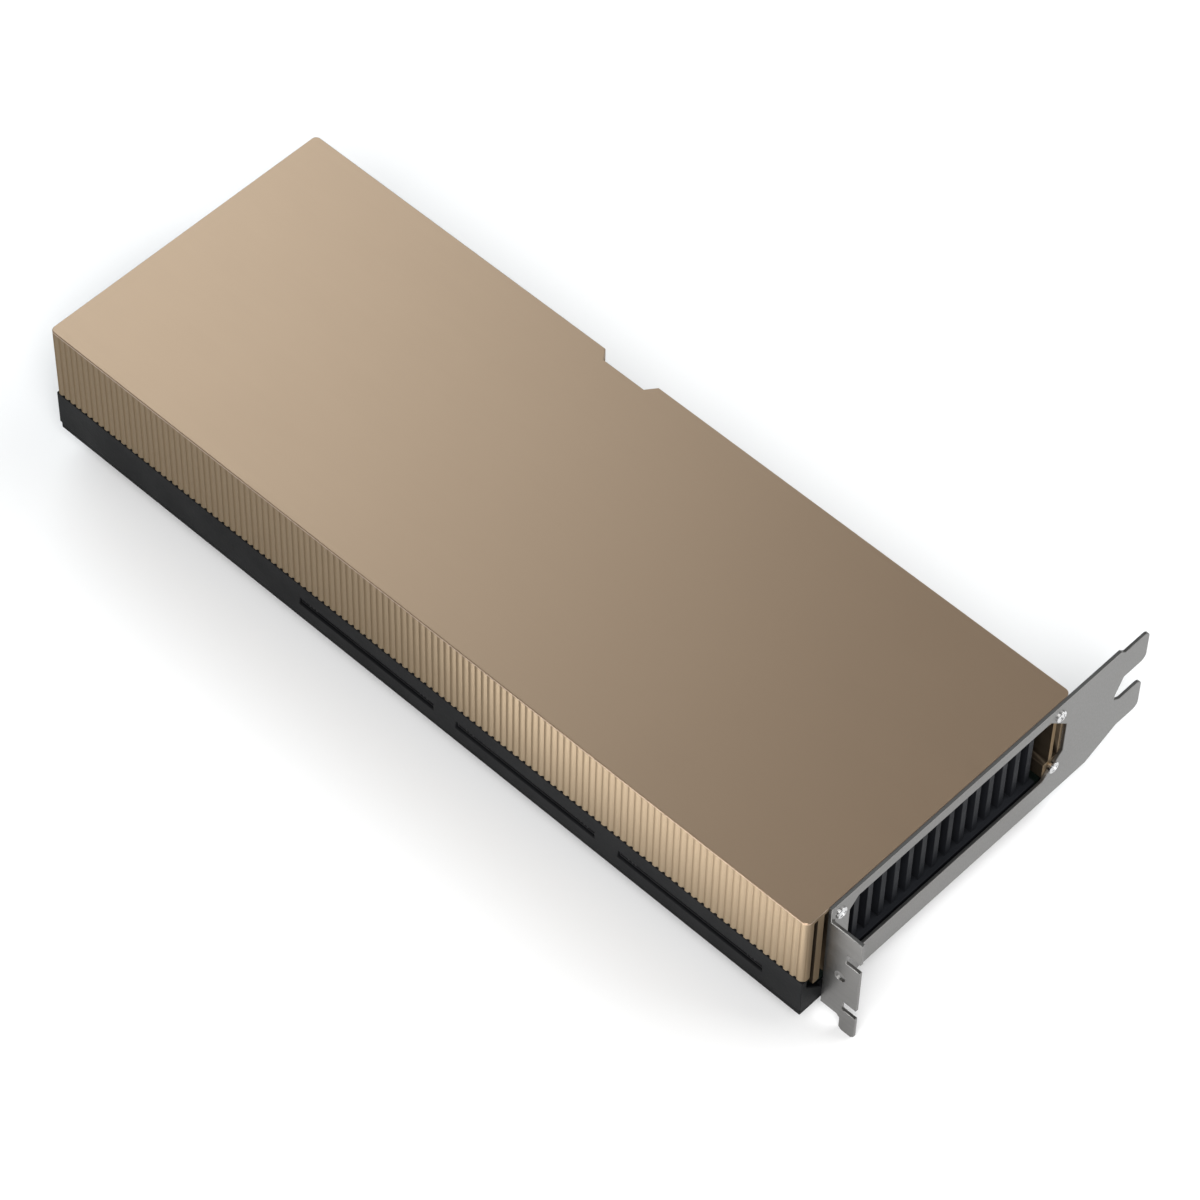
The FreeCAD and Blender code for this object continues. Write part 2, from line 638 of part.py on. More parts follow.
def make_circuit_board():
    """The board: wide shoulder, contact tongue with its key notch, latch hook, notches and holes."""
    body = new_body("circuit_board", X_REAR, Y_NEAR, Z_UNDER)
    near = "(frame_wall + board_gap)"
    far = "(card_width - frame_wall - board_gap)"
    rear = "(frame_wall + board_gap)"
    front = "(card_length - frame_wall - board_gap)"
    shoulder = "(card_width + shoulder_reach)"
    tip = "(card_width + tongue_reach)"
    key = "(card_length - key_setback)"
    tongue_rear = "(card_length - tongue_rear)"
    tongue_front = "(card_length - tongue_front)"
    hook = "(card_length - tongue_rear - hook_gap)"
    plan = new_sketch(body, "XY_Plane")
    corners = [(rear, near)]
    for post in NEAR_POSTS:
        low = post + " - post_length / 2 - board_gap"
        high = post + " + post_length / 2 + board_gap"
        inner = NEAR_SPAN[1] + " + board_gap"
        corners += [(low, near), (low, inner), (high, inner), (high, near)]
    corners += [(front, near), (front, far)]
    for post in reversed(FAR_POSTS):
        low = post + " - post_length / 2 - board_gap"
        high = post + " + post_length / 2 + board_gap"
        inner = FAR_SPAN[0] + " - board_gap"
        notch = [(high, far), (high, inner), (low, inner), (low, far)]
        if post == FAR_POSTS[1]:
            notch += [
                ("card_length - shoulder_front", far),
                ("card_length - shoulder_front", shoulder),
                (tongue_front, shoulder),
                (tongue_front, tip + " - tongue_bevel"),
                (tongue_front + " - tongue_bevel", tip),
                (key + " + key_width / 2", tip),
                (key + " + key_width / 2", tip + " - key_depth"),
                (key + " - key_width / 2", tip + " - key_depth"),
                (key + " - key_width / 2", tip),
                (tongue_rear + " + tongue_bevel", tip),
                (tongue_rear, tip + " - tongue_bevel"),
                (tongue_rear, shoulder),
                (hook, shoulder),
                (hook, "card_width + hook_reach"),
                (hook + " - hook_length", "card_width + hook_reach"),
                (hook + " - hook_length", "card_width + hook_reach - hook_foot"),
                (hook + " - hook_leg", "card_width + hook_reach - hook_foot"),
                (hook + " - hook_leg", shoulder),
                ("card_length - shoulder_rear", shoulder),
                ("card_length - shoulder_rear", far),
            ]
        corners += notch
    corners += [(rear, far)]
    polygon(plan, corners)
    pad(body, plan, "board_thickness")
    holes = new_sketch(body, "XY_Plane")
    for along, across in BOARD_SCREWS:
        circle(holes, along, across, "shank_radius + screw_clearance")
    for along, across in RETENTION_SCREWS:
        circle(holes, along, across, "retention_shank + screw_clearance")
    pocket(body, holes)
    return body


def make_edge_contacts():
    """The gold pads on both faces of the contact tongue, before and after the key notch."""
    body = new_body("edge_contacts", X_REAR, Y_NEAR, Z_UNDER)
    near = "(card_width + tongue_reach - contact_setback - contact_length)"
    runs = [
        ("(card_length - tongue_front - tongue_bevel)", "(card_length - key_setback + key_width / 2)"),
        ("(card_length - key_setback - key_width / 2)", "(card_length - tongue_rear + tongue_bevel)"),
    ]
    faces = [("board_thickness", False), ("0", True)]
    for start, end in runs:
        count = "floor((%s - %s) / contact_pitch)" % (start, end)
        spare = "((%s - %s - %s * contact_pitch) / 2)" % (start, end, count)
        first = "(%s - %s - (contact_pitch - contact_width) / 2)" % (start, spare)
        for lift, against in faces:
            pads = new_sketch(body, "XY_Plane", lift)
            rectangle(pads, first + " - contact_width", first, near, near + " + contact_length")
            one = pad(body, pads, "contact_thickness", against=against)
            repeat(body, one, pads, "H_Axis", count, "contact_pitch", backwards=True)
    return body


def make_package():
    """The processor package: carrier, die, memory stacks and stiffener ring."""
    half = "package_size / 2"
    left = "%s - %s" % (X_PACKAGE, half)
    low = "%s - %s" % (Y_PACKAGE, half)
    carrier = block(left, low, Z_BOARD, "package_size", "package_size", "substrate_thickness")
    node(carrier, "processor_substrate")
    level = Z_BOARD + " + substrate_thickness"
    die = block(X_PACKAGE + " - die_length / 2", Y_PACKAGE + " - die_width / 2", level,
                "die_length", "die_width", "die_thickness")
    node(die, "processor_die")
    stacks = []
    for side in ("+ die_length / 2 + chip_gap", "- die_length / 2 - chip_gap - memory_length"):
        for index in (-1, 0, 1):
            across = "%s + %d * (memory_width + chip_gap) - memory_width / 2" % (Y_PACKAGE, index)
            stacks.append(block("%s %s" % (X_PACKAGE, side), across, level,
                                "memory_length", "memory_width", "die_thickness"))
    node(group(stacks), "memory_stacks")
    outer = block(left, low, level, "package_size", "package_size", "stiffener_height")
    inner_side = "package_size - 2 * stiffener_width"
    inner = block(left + " + stiffener_width", low + " + stiffener_width", level + " - stiffener_height",
                  inner_side, inner_side, "3 * stiffener_height")
    node(cut(outer, inner), "package_stiffener")
    plate = block(X_PACKAGE + " - cold_plate_size / 2", Y_PACKAGE + " - cold_plate_size / 2",
                  level + " + die_thickness", "cold_plate_size", "cold_plate_size", "cold_plate_thickness")
    node(plate, "cold_plate")


def make_heatsink():
    """The black heatsink: base, straight fins along the card and round posts under the base."""
    body = new_body("fin_heatsink", X_REAR, Y_NEAR, Z_SINK)
    base_front = "(card_length - sink_front_gap)"
    base = new_sketch(body, "XY_Plane")
    rectangle(base, "sink_rear", base_front, "sink_near", "card_width - sink_far")
    pad(body, base, "sink_base")
    fin = new_sketch(body, "XY_Plane", "sink_base")
    rectangle(fin, "sink_rear", base_front + " - fin_setback",
              "first_fin - fin_thickness / 2", "first_fin + fin_thickness / 2")
    fin_height = "(board_depth - %s - sink_base - cover_top - fin_gap)" % PACKAGE_HEIGHT
    one_fin = pad(body, fin, fin_height)
    fin_count = "floor((card_width - sink_far - first_fin - fin_thickness / 2) / fin_pitch) + 1"
    repeat(body, one_fin, fin, "V_Axis", fin_count, "fin_pitch")
    posts = new_sketch(body, "XY_Plane")
    threads = new_sketch(body, "XY_Plane", "-" + PACKAGE_HEIGHT)
    for along, across in BOARD_SCREWS:
        circle(posts, along, across, "sink_post_radius")
        circle(threads, along, across, "thread_radius")
    for along, across in RETENTION_SCREWS:
        circle(posts, along, across, "sink_post_radius")
        circle(threads, along, across, "retention_shank + retention_play")
    pad(body, posts, PACKAGE_HEIGHT, against=True)
    pocket(body, threads, "%s + sink_base - fin_gap" % PACKAGE_HEIGHT, along=True)
    return body


def make_power_parts():
    """Inductors, power stages and pads in a row each side of the processor, and the capacitors."""
    coils = []
    stages = []
    pads = []
    count = int(value("coils_a_row"))
    pads_height = PACKAGE_HEIGHT + " - coil_height"
    for side in (-1, 1):
        middle = "(%s + %d * coil_offset)" % (X_PACKAGE, side)
        stage_middle = ("(%s + %d * (coil_length / 2 + stage_gap + stage_length / 2))" % (middle, side))
        for index in range(count):
            across = "(%s + (%d - (coils_a_row - 1) / 2) * coil_pitch)" % (Y_PACKAGE, index)
            coils.append(block(middle + " - coil_length / 2", across + " - coil_width / 2", Z_BOARD,
                               "coil_length", "coil_width", "coil_height"))
            stages.append(block(stage_middle + " - stage_length / 2", across + " - stage_width / 2", Z_BOARD,
                                "stage_length", "stage_width", "stage_height"))
        row_width = "((coils_a_row - 1) * coil_pitch + coil_width)"
        pads.append(block(middle + " - coil_length / 2", "%s - %s / 2" % (Y_PACKAGE, row_width),
                          Z_BOARD + " + coil_height", "coil_length", row_width, pads_height))
    node(group(coils), "power_inductors")
    node(group(stages), "power_stages")
    node(group(pads), "thermal_pads")
    cans = []
    for index in range(int(value("capacitor_count"))):
        cans.append(rod(X_REAR + " + capacitor_setback",
                        "%s + first_capacitor + %d * capacitor_pitch" % (Y_NEAR, index),
                        Z_BOARD, "capacitor_radius", "capacitor_height"))
    node(group(cans), "bulk_capacitors")


def make_power_socket():
    """The eight-way power socket at the rear end and its pins."""
    body = new_body("power_connector", X_REAR, Y_NEAR + " + socket_middle", Z_BOARD)
    shell = new_sketch(body, "YZ_Plane")
    rectangle(shell, "-socket_width / 2", "socket_width / 2", "0", "socket_height")
    pad(body, shell, "socket_length")
    cells = new_sketch(body, "YZ_Plane")
    pins = []
    for row in (-1, 1):
        level = "(socket_height / 2 + %d * cell_pitch / 2)" % row
        for column in (-3, -1, 1, 3):
            across = "(%d * cell_pitch / 2)" % column
            rectangle(cells, across + " - cell_size / 2", across + " + cell_size / 2",
                      level + " - cell_size / 2", level + " + cell_size / 2")
            pins.append(block(X_REAR + " + pin_setback",
                              "%s + socket_middle + %s - pin_size / 2" % (Y_NEAR, across),
                              "%s + %s - pin_size / 2" % (Z_BOARD, level),
                              "cell_depth - pin_setback", "pin_size", "pin_size"))
    pocket(body, cells, "cell_depth", along=True)
    node(group(pins), "power_pins")


def make_rear_plate():
    """The plate that closes the rear end: three air inlets, screw holes and two threaded holes."""
    body = new_body("rear_plate", X_REAR, Y_NEAR, Z_SEAM)
    near = "(cover_wall + rear_plate_gap)"
    plan = new_sketch(body, "YZ_Plane")
    rectangle(plan, near, "card_width - " + near, "0", CEILING + " - rear_plate_gap")
    pad(body, plan, "rear_plate")
    inlets = new_sketch(body, "YZ_Plane")
    inlet_width = "((card_width - inlet_near - inlet_far + inlet_strut) / inlet_count - inlet_strut)"
    for index in range(int(value("inlet_count"))):
        left = "(inlet_near + %d * (%s + inlet_strut))" % (index, inlet_width)
        rectangle(inlets, left, "%s + %s" % (left, inlet_width),
                  "inlet_margin", CEILING + " - rear_plate_gap - inlet_margin")
    pocket(body, inlets)
    holes = new_sketch(body, "YZ_Plane")
    for across in ("screw_near", "screw_far"):
        for up in REAR_SCREW_LEVELS:
            circle(holes, across, up, "shank_radius + screw_clearance")
        circle(holes, across, "cover_side_height / 2", "rear_thread_radius")
    pocket(body, holes)
    return body


def make_io_bracket():
    """The steel bracket: plate with window and tongues, and the bent flange with its foot tab."""
    body = new_body("io_bracket", X_FRONT, Y_NEAR, Z_BRACKET)
    tip = "bracket_reach"
    root = "(bracket_reach - leg_length)"
    throat = "(bracket_reach - plate_shoulder)"
    upper_top = "(bracket_height - leg_depth)"
    upper_low = "(bracket_height - leg_depth - leg_width)"
    lower_top = "(bracket_height - leg_depth - slot_pitch)"
    lower_low = "(bracket_height - leg_depth - slot_pitch - leg_width)"
    plate = new_sketch(body, "YZ_Plane")
    polygon(plate, [
        ("plate_near", "0"),
        ("bracket_reach - plate_taper", "0"),
        (root, lower_low),
        (tip, lower_low),
        (tip, lower_top),
        (root, lower_top),
        (throat, lower_top + " + leg_depth"),
        (throat, lower_top + " + 2 * leg_depth"),
        (root, upper_low),
        (tip, upper_low),
        (tip, upper_top),
        (throat + " + shoulder_run", upper_top),
        (throat, "bracket_height"),
        ("plate_near", "bracket_height"),
    ])
    pad(body, plate, "bracket_sheet")
    window = new_sketch(body, "YZ_Plane")
    window_top = "(bracket_height - window_rail)"
    window_low = "(bracket_height - window_rail - window_height)"
    polygon(window, [
        ("window_near + corner_cut", window_low),
        ("window_far - corner_gusset", window_low),
        ("window_far", window_low + " + corner_gusset"),
        ("window_far", window_top + " - corner_gusset"),
        ("window_far - corner_gusset", window_top),
        ("window_near + corner_cut", window_top),
        ("window_near", window_top + " - corner_cut"),
        ("window_near", window_low + " + corner_cut"),
    ])
    pocket(body, window)
    holes = new_sketch(body, "YZ_Plane")
    for across in ("screw_near", "screw_far"):
        for down in ("bracket_screw_top", "bracket_screw_drop"):
            circle(holes, across, "bracket_height - " + down, "shank_radius + screw_clearance")
    pocket(body, holes)
    flange_top = "(bracket_height - flange_depth)"
    flange_low = "(bracket_height - flange_depth - flange_height)"
    foot = "(bracket_height + bracket_step - card_thickness - foot_drop)"
    foot_left = "(flange_reach - foot_width)"
    corners = [
        ("0", flange_low),
        (foot_left + " - foot_corner", flange_low),
        (foot_left, flange_low + " - foot_corner"),
        (foot_left, foot + " + foot_corner"),
        (foot_left + " + foot_corner", foot),
        ("flange_reach - foot_corner", foot),
        ("flange_reach", foot + " + foot_corner"),
    ]
    for index in (1, 0):
        middle = "(bracket_height - notch_drop - %d * slot_pitch)" % index
        low = middle + " - notch_height / 2"
        high = middle + " + notch_height / 2"
        corners += [
            ("flange_reach", low),
            ("flange_reach - notch_reach", low),
            ("flange_reach - notch_reach", high),
            ("flange_reach", high),
        ]
    corners += [("flange_reach", flange_top), ("0", flange_top)]
    flange = new_sketch(body, "XZ_Plane", "-plate_near")
    polygon(flange, corners)
    pad(body, flange, "bracket_sheet", against=True)
    guide = new_sketch(body, "XZ_Plane", "-plate_near")
    circle(guide, "guide_hole_reach", "bracket_height - guide_hole_drop", "guide_hole_radius")
    pierced = pocket(body, guide, "bracket_sheet")
    sheet_thickness = value("bracket_sheet")
    near = value("plate_near")
    reach = value(tip)

    def inner_bend(edge, middle):
        """The edge inside the bend between the plate and the flange."""
        upright = abs(edge.tangentAt(edge.FirstParameter).z) > 0.99
        return upright and abs(middle.x - sheet_thickness) < 0.01 and abs(middle.y - near - sheet_thickness) < 0.01

    def outer_bend(edge, middle):
        """The edge outside the same bend, where the flange leaves the plate."""
        upright = abs(edge.tangentAt(edge.FirstParameter).z) > 0.99
        beside = value(flange_low) < middle.z < value(flange_top)
        return upright and abs(middle.x) < 0.01 and abs(middle.y - near) < 0.01 and beside

    def leg_tip(edge, middle):
        """The four corners at the tips of the tongues."""
        return abs(middle.y - reach) < 0.01 and abs(edge.tangentAt(edge.FirstParameter).x) > 0.99

    bent = round_edges(body, pierced, "bend_radius", inner_bend)
    return round_edges(body, bent, "leg_corner", leg_tip)


AWAY_FROM_BRACKET = Rotation(Vector(0, 1, 0), -90)
TOWARDS_BRACKET = Rotation(Vector(0, 1, 0), 90)


def make_end_screws():
    """The four screws of the bracket and the four of the rear plate."""
    front = []
    for across in ("screw_near", "screw_far"):
        for down in ("bracket_screw_top", "bracket_screw_drop"):
            level = "%s - bracket_step - %s" % (Z_TOP, down)
            face = X_FRONT + " + bracket_sheet"
            head = rod(face, "%s + %s" % (Y_NEAR, across), level, "head_radius", "head_height",
                       TOWARDS_BRACKET)
            shank = rod(face, "%s + %s" % (Y_NEAR, across), level, "shank_radius",
                        "bracket_sheet + thread_depth - screw_clearance", AWAY_FROM_BRACKET)
            front.append(join([head, shank]))
    node(group(front), "bracket_screws")
    rear = []
    for across in ("screw_near", "screw_far"):
        for up in REAR_SCREW_LEVELS:
            level = "%s + %s" % (Z_SEAM, up)
            head = rod(X_REAR, "%s + %s" % (Y_NEAR, across), level, "head_radius", "head_height",
                       AWAY_FROM_BRACKET)
            shank = rod(X_REAR, "%s + %s" % (Y_NEAR, across), level, "shank_radius",
                        "rear_plate + thread_depth - screw_clearance", TOWARDS_BRACKET)
            rear.append(join([head, shank]))
    node(group(rear), "rear_plate_screws")


def flat_screw(along, across, length):
    """A bottom screw with its flat head level with the backplate's underside."""
    x = "%s + %s" % (X_REAR, along)
    y = "%s + %s" % (Y_NEAR, across)
    head = rod(x, y, "foot_drop", "sunk_head_radius", "sunk_head_height")
    shank = rod(x, y, "foot_drop", "shank_radius", length)
    return join([head, shank])


def make_bottom_fasteners():
    """Board screws with their spacers, cover screws, and the sprung retention screws."""
    board_length = "card_thickness - board_depth + %s" % PACKAGE_HEIGHT
    board_screws = [flat_screw(along, across, board_length) for along, across in BOARD_SCREWS]
    node(group(board_screws), "backplate_screws")
    spacers = []
    for along, across in BOARD_SCREWS:
        x = "%s + %s" % (X_REAR, along)
        y = "%s + %s" % (Y_NEAR, across)
        level = "foot_drop + backplate_thickness"
        tube = rod(x, y, level, "standoff_radius", SPACER_HEIGHT)
        bore = rod(x, y, level, "shank_radius + screw_clearance", SPACER_HEIGHT)
        spacers.append(cut(tube, bore))
    node(group(spacers), "board_standoffs")
    cover_length = "card_thickness - cover_side_height - duct_drop + thread_depth - screw_clearance"
    cover_screws = []
    for along, across in POST_SCREWS:
        cover_screws.append(flat_screw(along, across, cover_length))
    node(group(cover_screws), "frame_screws")
    screws = []
    washers = []
    head_level = "(%s - washer_rise - retention_head_height)" % Z_UNDER
    for along, across in RETENTION_SCREWS:
        x = "%s + %s" % (X_REAR, along)
        y = "%s + %s" % (Y_NEAR, across)
        head = rod(x, y, head_level, "retention_head", "retention_head_height")
        shank_length = "washer_rise + retention_head_height + board_thickness + %s" % PACKAGE_HEIGHT
        shank = rod(x, y, head_level, "retention_shank", shank_length)
        screws.append(join([head, shank]))
        ring = doc.addObject("Part::Cone", "ring")
        place(ring, x, y, "%s - washer_rise" % Z_UNDER)
        bind(ring, "Radius1", "retention_head")
        bind(ring, "Radius2", "retention_shank + washer_width")
        bind(ring, "Height", "washer_rise")
        bore = rod(x, y, "%s - washer_rise" % Z_UNDER, "washer_bore", "washer_rise")
        washers.append(cut(ring, bore))
    node(group(screws), "retention_screws")
    node(group(washers), "spring_washers")


def check_document():
    """Stops if any object failed or any piece has no sound solid."""
    for item in doc.Objects:
        if "Invalid" in item.State or "Error" in item.State:
            raise RuntimeError("%s did not build: %s" % (item.Label, item.State))
    for item in nodes:
        if item.Shape.isNull() or not item.Shape.isValid() or not item.Shape.Solids:
            raise RuntimeError("%s has no sound solid" % item.Label)


make_cover()
make_base_frame()
make_port_caps()
make_bridge_connectors()
make_backplate()
make_circuit_board()
make_edge_contacts()
make_package()
make_heatsink()
make_power_parts()
make_power_socket()
make_rear_plate()
make_io_bracket()
make_end_screws()
make_bottom_fasteners()
doc.recompute()
check_document()

os.makedirs("parts", exist_ok=True)
for item in nodes:
    item.Shape.exportStep("parts/%s.step" % item.Label)
    box = item.Shape.BoundBox
    print("%-22s solids %3d volume %10.1f  x %7.2f %7.2f  y %7.2f %7.2f  z %6.2f %6.2f" % (
        item.Label, len(item.Shape.Solids), item.Shape.Volume,
        box.XMin, box.XMax, box.YMin, box.YMax, box.ZMin, box.ZMax))
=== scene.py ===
import json
import logging
import math
from dataclasses import dataclass, field
from enum import Enum

import bmesh
import bpy
from mathutils import Euler, Matrix, Vector

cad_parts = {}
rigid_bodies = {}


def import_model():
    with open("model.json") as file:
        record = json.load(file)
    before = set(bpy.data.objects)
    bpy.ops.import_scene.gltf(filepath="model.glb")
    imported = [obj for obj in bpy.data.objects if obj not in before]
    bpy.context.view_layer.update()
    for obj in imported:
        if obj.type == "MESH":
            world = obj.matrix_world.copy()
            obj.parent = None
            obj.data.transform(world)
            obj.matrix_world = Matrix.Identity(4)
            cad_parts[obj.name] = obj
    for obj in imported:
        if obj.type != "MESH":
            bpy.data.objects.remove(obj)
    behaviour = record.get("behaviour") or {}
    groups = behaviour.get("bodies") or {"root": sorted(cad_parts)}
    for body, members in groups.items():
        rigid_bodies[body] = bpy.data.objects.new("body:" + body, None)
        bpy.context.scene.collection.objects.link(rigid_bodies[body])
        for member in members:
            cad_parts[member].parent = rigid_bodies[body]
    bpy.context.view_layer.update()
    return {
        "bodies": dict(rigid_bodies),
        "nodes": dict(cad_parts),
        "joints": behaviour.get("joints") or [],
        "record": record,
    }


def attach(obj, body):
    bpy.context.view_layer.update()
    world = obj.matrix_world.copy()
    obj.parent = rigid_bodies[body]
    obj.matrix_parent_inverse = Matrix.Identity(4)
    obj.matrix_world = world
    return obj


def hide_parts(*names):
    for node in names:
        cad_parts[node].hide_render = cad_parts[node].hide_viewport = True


LOG = logging.getLogger("accelerator_card")
MM = 0.001
MICRON = 0.000001
SMOOTH_ANGLE = 32.0  # degrees: sharper edges are shaded sharp and may be rounded
FLAT_ANGLE = 0.5  # degrees: faces that turn less are one flat face
FLAT_WEIGHT = 70  # how strongly large faces keep their own shading
SQUARE_ON = 0.9  # a normal's share along an axis from which its face counts as facing that way
Colour = tuple[float, float, float]
Span = tuple[float, float]


def tinted(colour: Colour) -> tuple[float, float, float, float]:
    """A colour as a shader socket takes it."""
    return (*colour, 1.0)


class Effect(Enum):
    """The shader effects that several finishes share."""

    GRAIN = "fine_grain"
    MOTTLE = "soft_mottle"
    SPECKLE = "coat_speckle"


class Effects:
    """Shader node groups, each made once and placed in every finish that uses it."""

    CONTRAST: Span = (0.3, 0.7)  # the tones of a pattern that are spread from Low to High
    STRETCH = (0.03, 1.0, 0.4)  # the grain's scale on each axis, which makes it run one way

    def __init__(self) -> None:
        """Makes the groups."""
        self.groups = {
            Effect.GRAIN: self._grain(),
            Effect.MOTTLE: self._mottle(),
            Effect.SPECKLE: self._speckle(),
        }

    @staticmethod
    def _new(effect: Effect) -> tuple[bpy.types.NodeTree, bpy.types.Node, bpy.types.Node]:
        """An empty group with the usual sockets, whose values each finish sets.

        Args:
            effect: which effect the group is for.

        Returns:
            The group with its input and output nodes.
        """
        tree = bpy.data.node_groups.new(effect.value, "ShaderNodeTree")
        tree.interface.new_socket(name="Place", in_out="INPUT", socket_type="NodeSocketVector")
        for value in ("Density", "Low", "High"):
            tree.interface.new_socket(name=value, in_out="INPUT", socket_type="NodeSocketFloat")
        tree.interface.new_socket(name="Mask", in_out="OUTPUT", socket_type="NodeSocketFloat")
        return tree, tree.nodes.new("NodeGroupInput"), tree.nodes.new("NodeGroupOutput")

    @staticmethod
    def _spread(tree: bpy.types.NodeTree, source: bpy.types.NodeSocket, start: bpy.types.Node,
                end: bpy.types.Node) -> None:
        """Spreads a pattern's middle tones from Low to High and sends them out.

        Args:
            tree: the group.
            source: the pattern.
            start: the group's input node.
            end: its output node.
        """
        ranged = tree.nodes.new("ShaderNodeMapRange")
        for socket, tone in zip(("From Min", "From Max"), Effects.CONTRAST):
            ranged.inputs[socket].default_value = tone
        tree.links.new(source, ranged.inputs["Value"])
        tree.links.new(start.outputs["Low"], ranged.inputs["To Min"])
        tree.links.new(start.outputs["High"], ranged.inputs["To Max"])
        tree.links.new(ranged.outputs["Result"], end.inputs["Mask"])

    @staticmethod
    def _noise(tree: bpy.types.NodeTree, start: bpy.types.Node, place: bpy.types.NodeSocket,
               detail: float, roughness: float) -> bpy.types.NodeSocket:
        """Adds a cloudy pattern.

        Args:
            tree: the group.
            start: the group's input node.
            place: where the pattern is read.
            detail: how many finer layers it has.
            roughness: how strong they are, 0 to 1.

        Returns:
            The pattern.
        """
        noise = tree.nodes.new("ShaderNodeTexNoise")
        noise.inputs["Detail"].default_value = detail
        noise.inputs["Roughness"].default_value = roughness
        tree.links.new(place, noise.inputs["Vector"])
        tree.links.new(start.outputs["Density"], noise.inputs["Scale"])
        return noise.outputs["Fac"]

    def _grain(self) -> bpy.types.NodeTree:
        """Short fine scratches that all run one way, as brushing or blasting leaves them.

        Returns:
            The group.
        """
        tree, start, end = self._new(Effect.GRAIN)
        squeeze = tree.nodes.new("ShaderNodeMapping")
        squeeze.inputs["Scale"].default_value = self.STRETCH
        tree.links.new(start.outputs["Place"], squeeze.inputs["Vector"])
        noise = self._noise(tree, start, squeeze.outputs["Vector"], detail=3.0, roughness=0.6)
        self._spread(tree, noise, start, end)
        return tree

    def _mottle(self) -> bpy.types.NodeTree:
        """Broad uneven patches of tone.

        Returns:
            The group.
        """
        tree, start, end = self._new(Effect.MOTTLE)
        noise = self._noise(tree, start, start.outputs["Place"], detail=4.0, roughness=0.55)
        self._spread(tree, noise, start, end)
        return tree

    def _speckle(self) -> bpy.types.NodeTree:
        """The orange-peel grain of a sprayed or moulded surface.

        Returns:
            The group.
        """
        tree, start, end = self._new(Effect.SPECKLE)
        cells = tree.nodes.new("ShaderNodeTexVoronoi")
        cells.feature = "SMOOTH_F1"
        tree.links.new(start.outputs["Place"], cells.inputs["Vector"])
        tree.links.new(start.outputs["Density"], cells.inputs["Scale"])
        self._spread(tree, cells.outputs["Distance"], start, end)
        return tree


class Canvas:
    """One material's nodes, with short ways to add and join them."""

    def __init__(self, name: str, effects: Effects) -> None:
        """Starts a material.

        Args:
            name: the material's name.
            effects: the shared node groups.
        """
        self.material = bpy.data.materials.new(name)
        self.material.use_nodes = True
        self.tree = self.material.node_tree
        self.effects = effects
        self.shader = self.tree.nodes["Principled BSDF"]
        self.place = self.add("ShaderNodeTexCoord").outputs["Object"]

    def add(self, kind: str) -> bpy.types.Node:
        """Adds a node of one kind."""
        return self.tree.nodes.new(kind)

    def join(self, start: bpy.types.NodeSocket, end: bpy.types.NodeSocket) -> None:
        """Links two sockets."""
        self.tree.links.new(start, end)

    def effect(self, effect: Effect, density: float, low: float = 0.0,
               high: float = 1.0) -> bpy.types.NodeSocket:
        """Places a shared effect.

        Args:
            effect: which effect.
            density: how fine its pattern is, per metre.
            low: its value in the pattern's hollows.
            high: its value on the pattern's crests.

        Returns:
            The mask that it puts out.
        """
        node = self.add("ShaderNodeGroup")
        node.node_tree = self.effects.groups[effect]
        node.inputs["Density"].default_value = density
        node.inputs["Low"].default_value = low
        node.inputs["High"].default_value = high
        self.join(self.place, node.inputs["Place"])
        return node.outputs["Mask"]

    def blend(self, mask: bpy.types.NodeSocket, dark: Colour,
              light: Colour) -> bpy.types.NodeSocket:
        """Mixes two colours by a mask.

        Args:
            mask: 0 gives the dark colour and 1 the light one.
            dark: the first colour.
            light: the second colour.

        Returns:
            The mixed colour.
        """
        node = self.add("ShaderNodeMix")
        node.data_type = "RGBA"
        self.join(mask, node.inputs["Factor"])
        node.inputs[6].default_value = tinted(dark)
        node.inputs[7].default_value = tinted(light)
        return node.outputs[2]

    def bump(self, height: bpy.types.NodeSocket, depth: float, strength: float) -> None:
        """Gives the surface a relief.

        Args:
            height: the relief's mask.
            depth: its depth in metres.
            strength: how much of it shows, 0 to 1.
        """
        node = self.add("ShaderNodeBump")
        node.inputs["Strength"].default_value = strength
        node.inputs["Distance"].default_value = depth
        self.join(height, node.inputs["Height"])
        self.join(node.outputs["Normal"], self.shader.inputs["Normal"])


@dataclass(frozen=True)
class MetalFinish:
    """A metal surface with one-way grain: anodised, brushed or plated."""

    name: str
    dark: Colour
    light: Colour
    roughness: Span
    grain: float = 2600.0
    relief: float = 10 * MICRON
    metallic: float = 1.0
    anodised: float = 0.0
    rim: Colour = (1.0, 1.0, 1.0)
    patches: float = 16.0
    patch_range: Span = (0.25, 0.75)
    scratch_strength: float = 0.35
    coat_roughness: float = 0.35

    def make(self, effects: Effects) -> bpy.types.Material:
        """Builds the material.

        Args:
            effects: the shared node groups.

        Returns:
            The material.
        """
        canvas = Canvas(self.name, effects)
        patches = canvas.effect(Effect.MOTTLE, self.patches, *self.patch_range)
        tone = canvas.blend(patches, self.dark, self.light)
        canvas.join(tone, canvas.shader.inputs["Base Color"])
        dull_scratches = canvas.effect(Effect.GRAIN, self.grain, *self.roughness)
        canvas.join(dull_scratches, canvas.shader.inputs["Roughness"])
        scratches = canvas.effect(Effect.GRAIN, self.grain)
        canvas.bump(scratches, self.relief, self.scratch_strength)
        canvas.shader.inputs["Metallic"].default_value = self.metallic
        canvas.shader.inputs["Specular Tint"].default_value = tinted(self.rim)
        canvas.shader.inputs["Coat Weight"].default_value = self.anodised
        canvas.shader.inputs["Coat Roughness"].default_value = self.coat_roughness
        return canvas.material


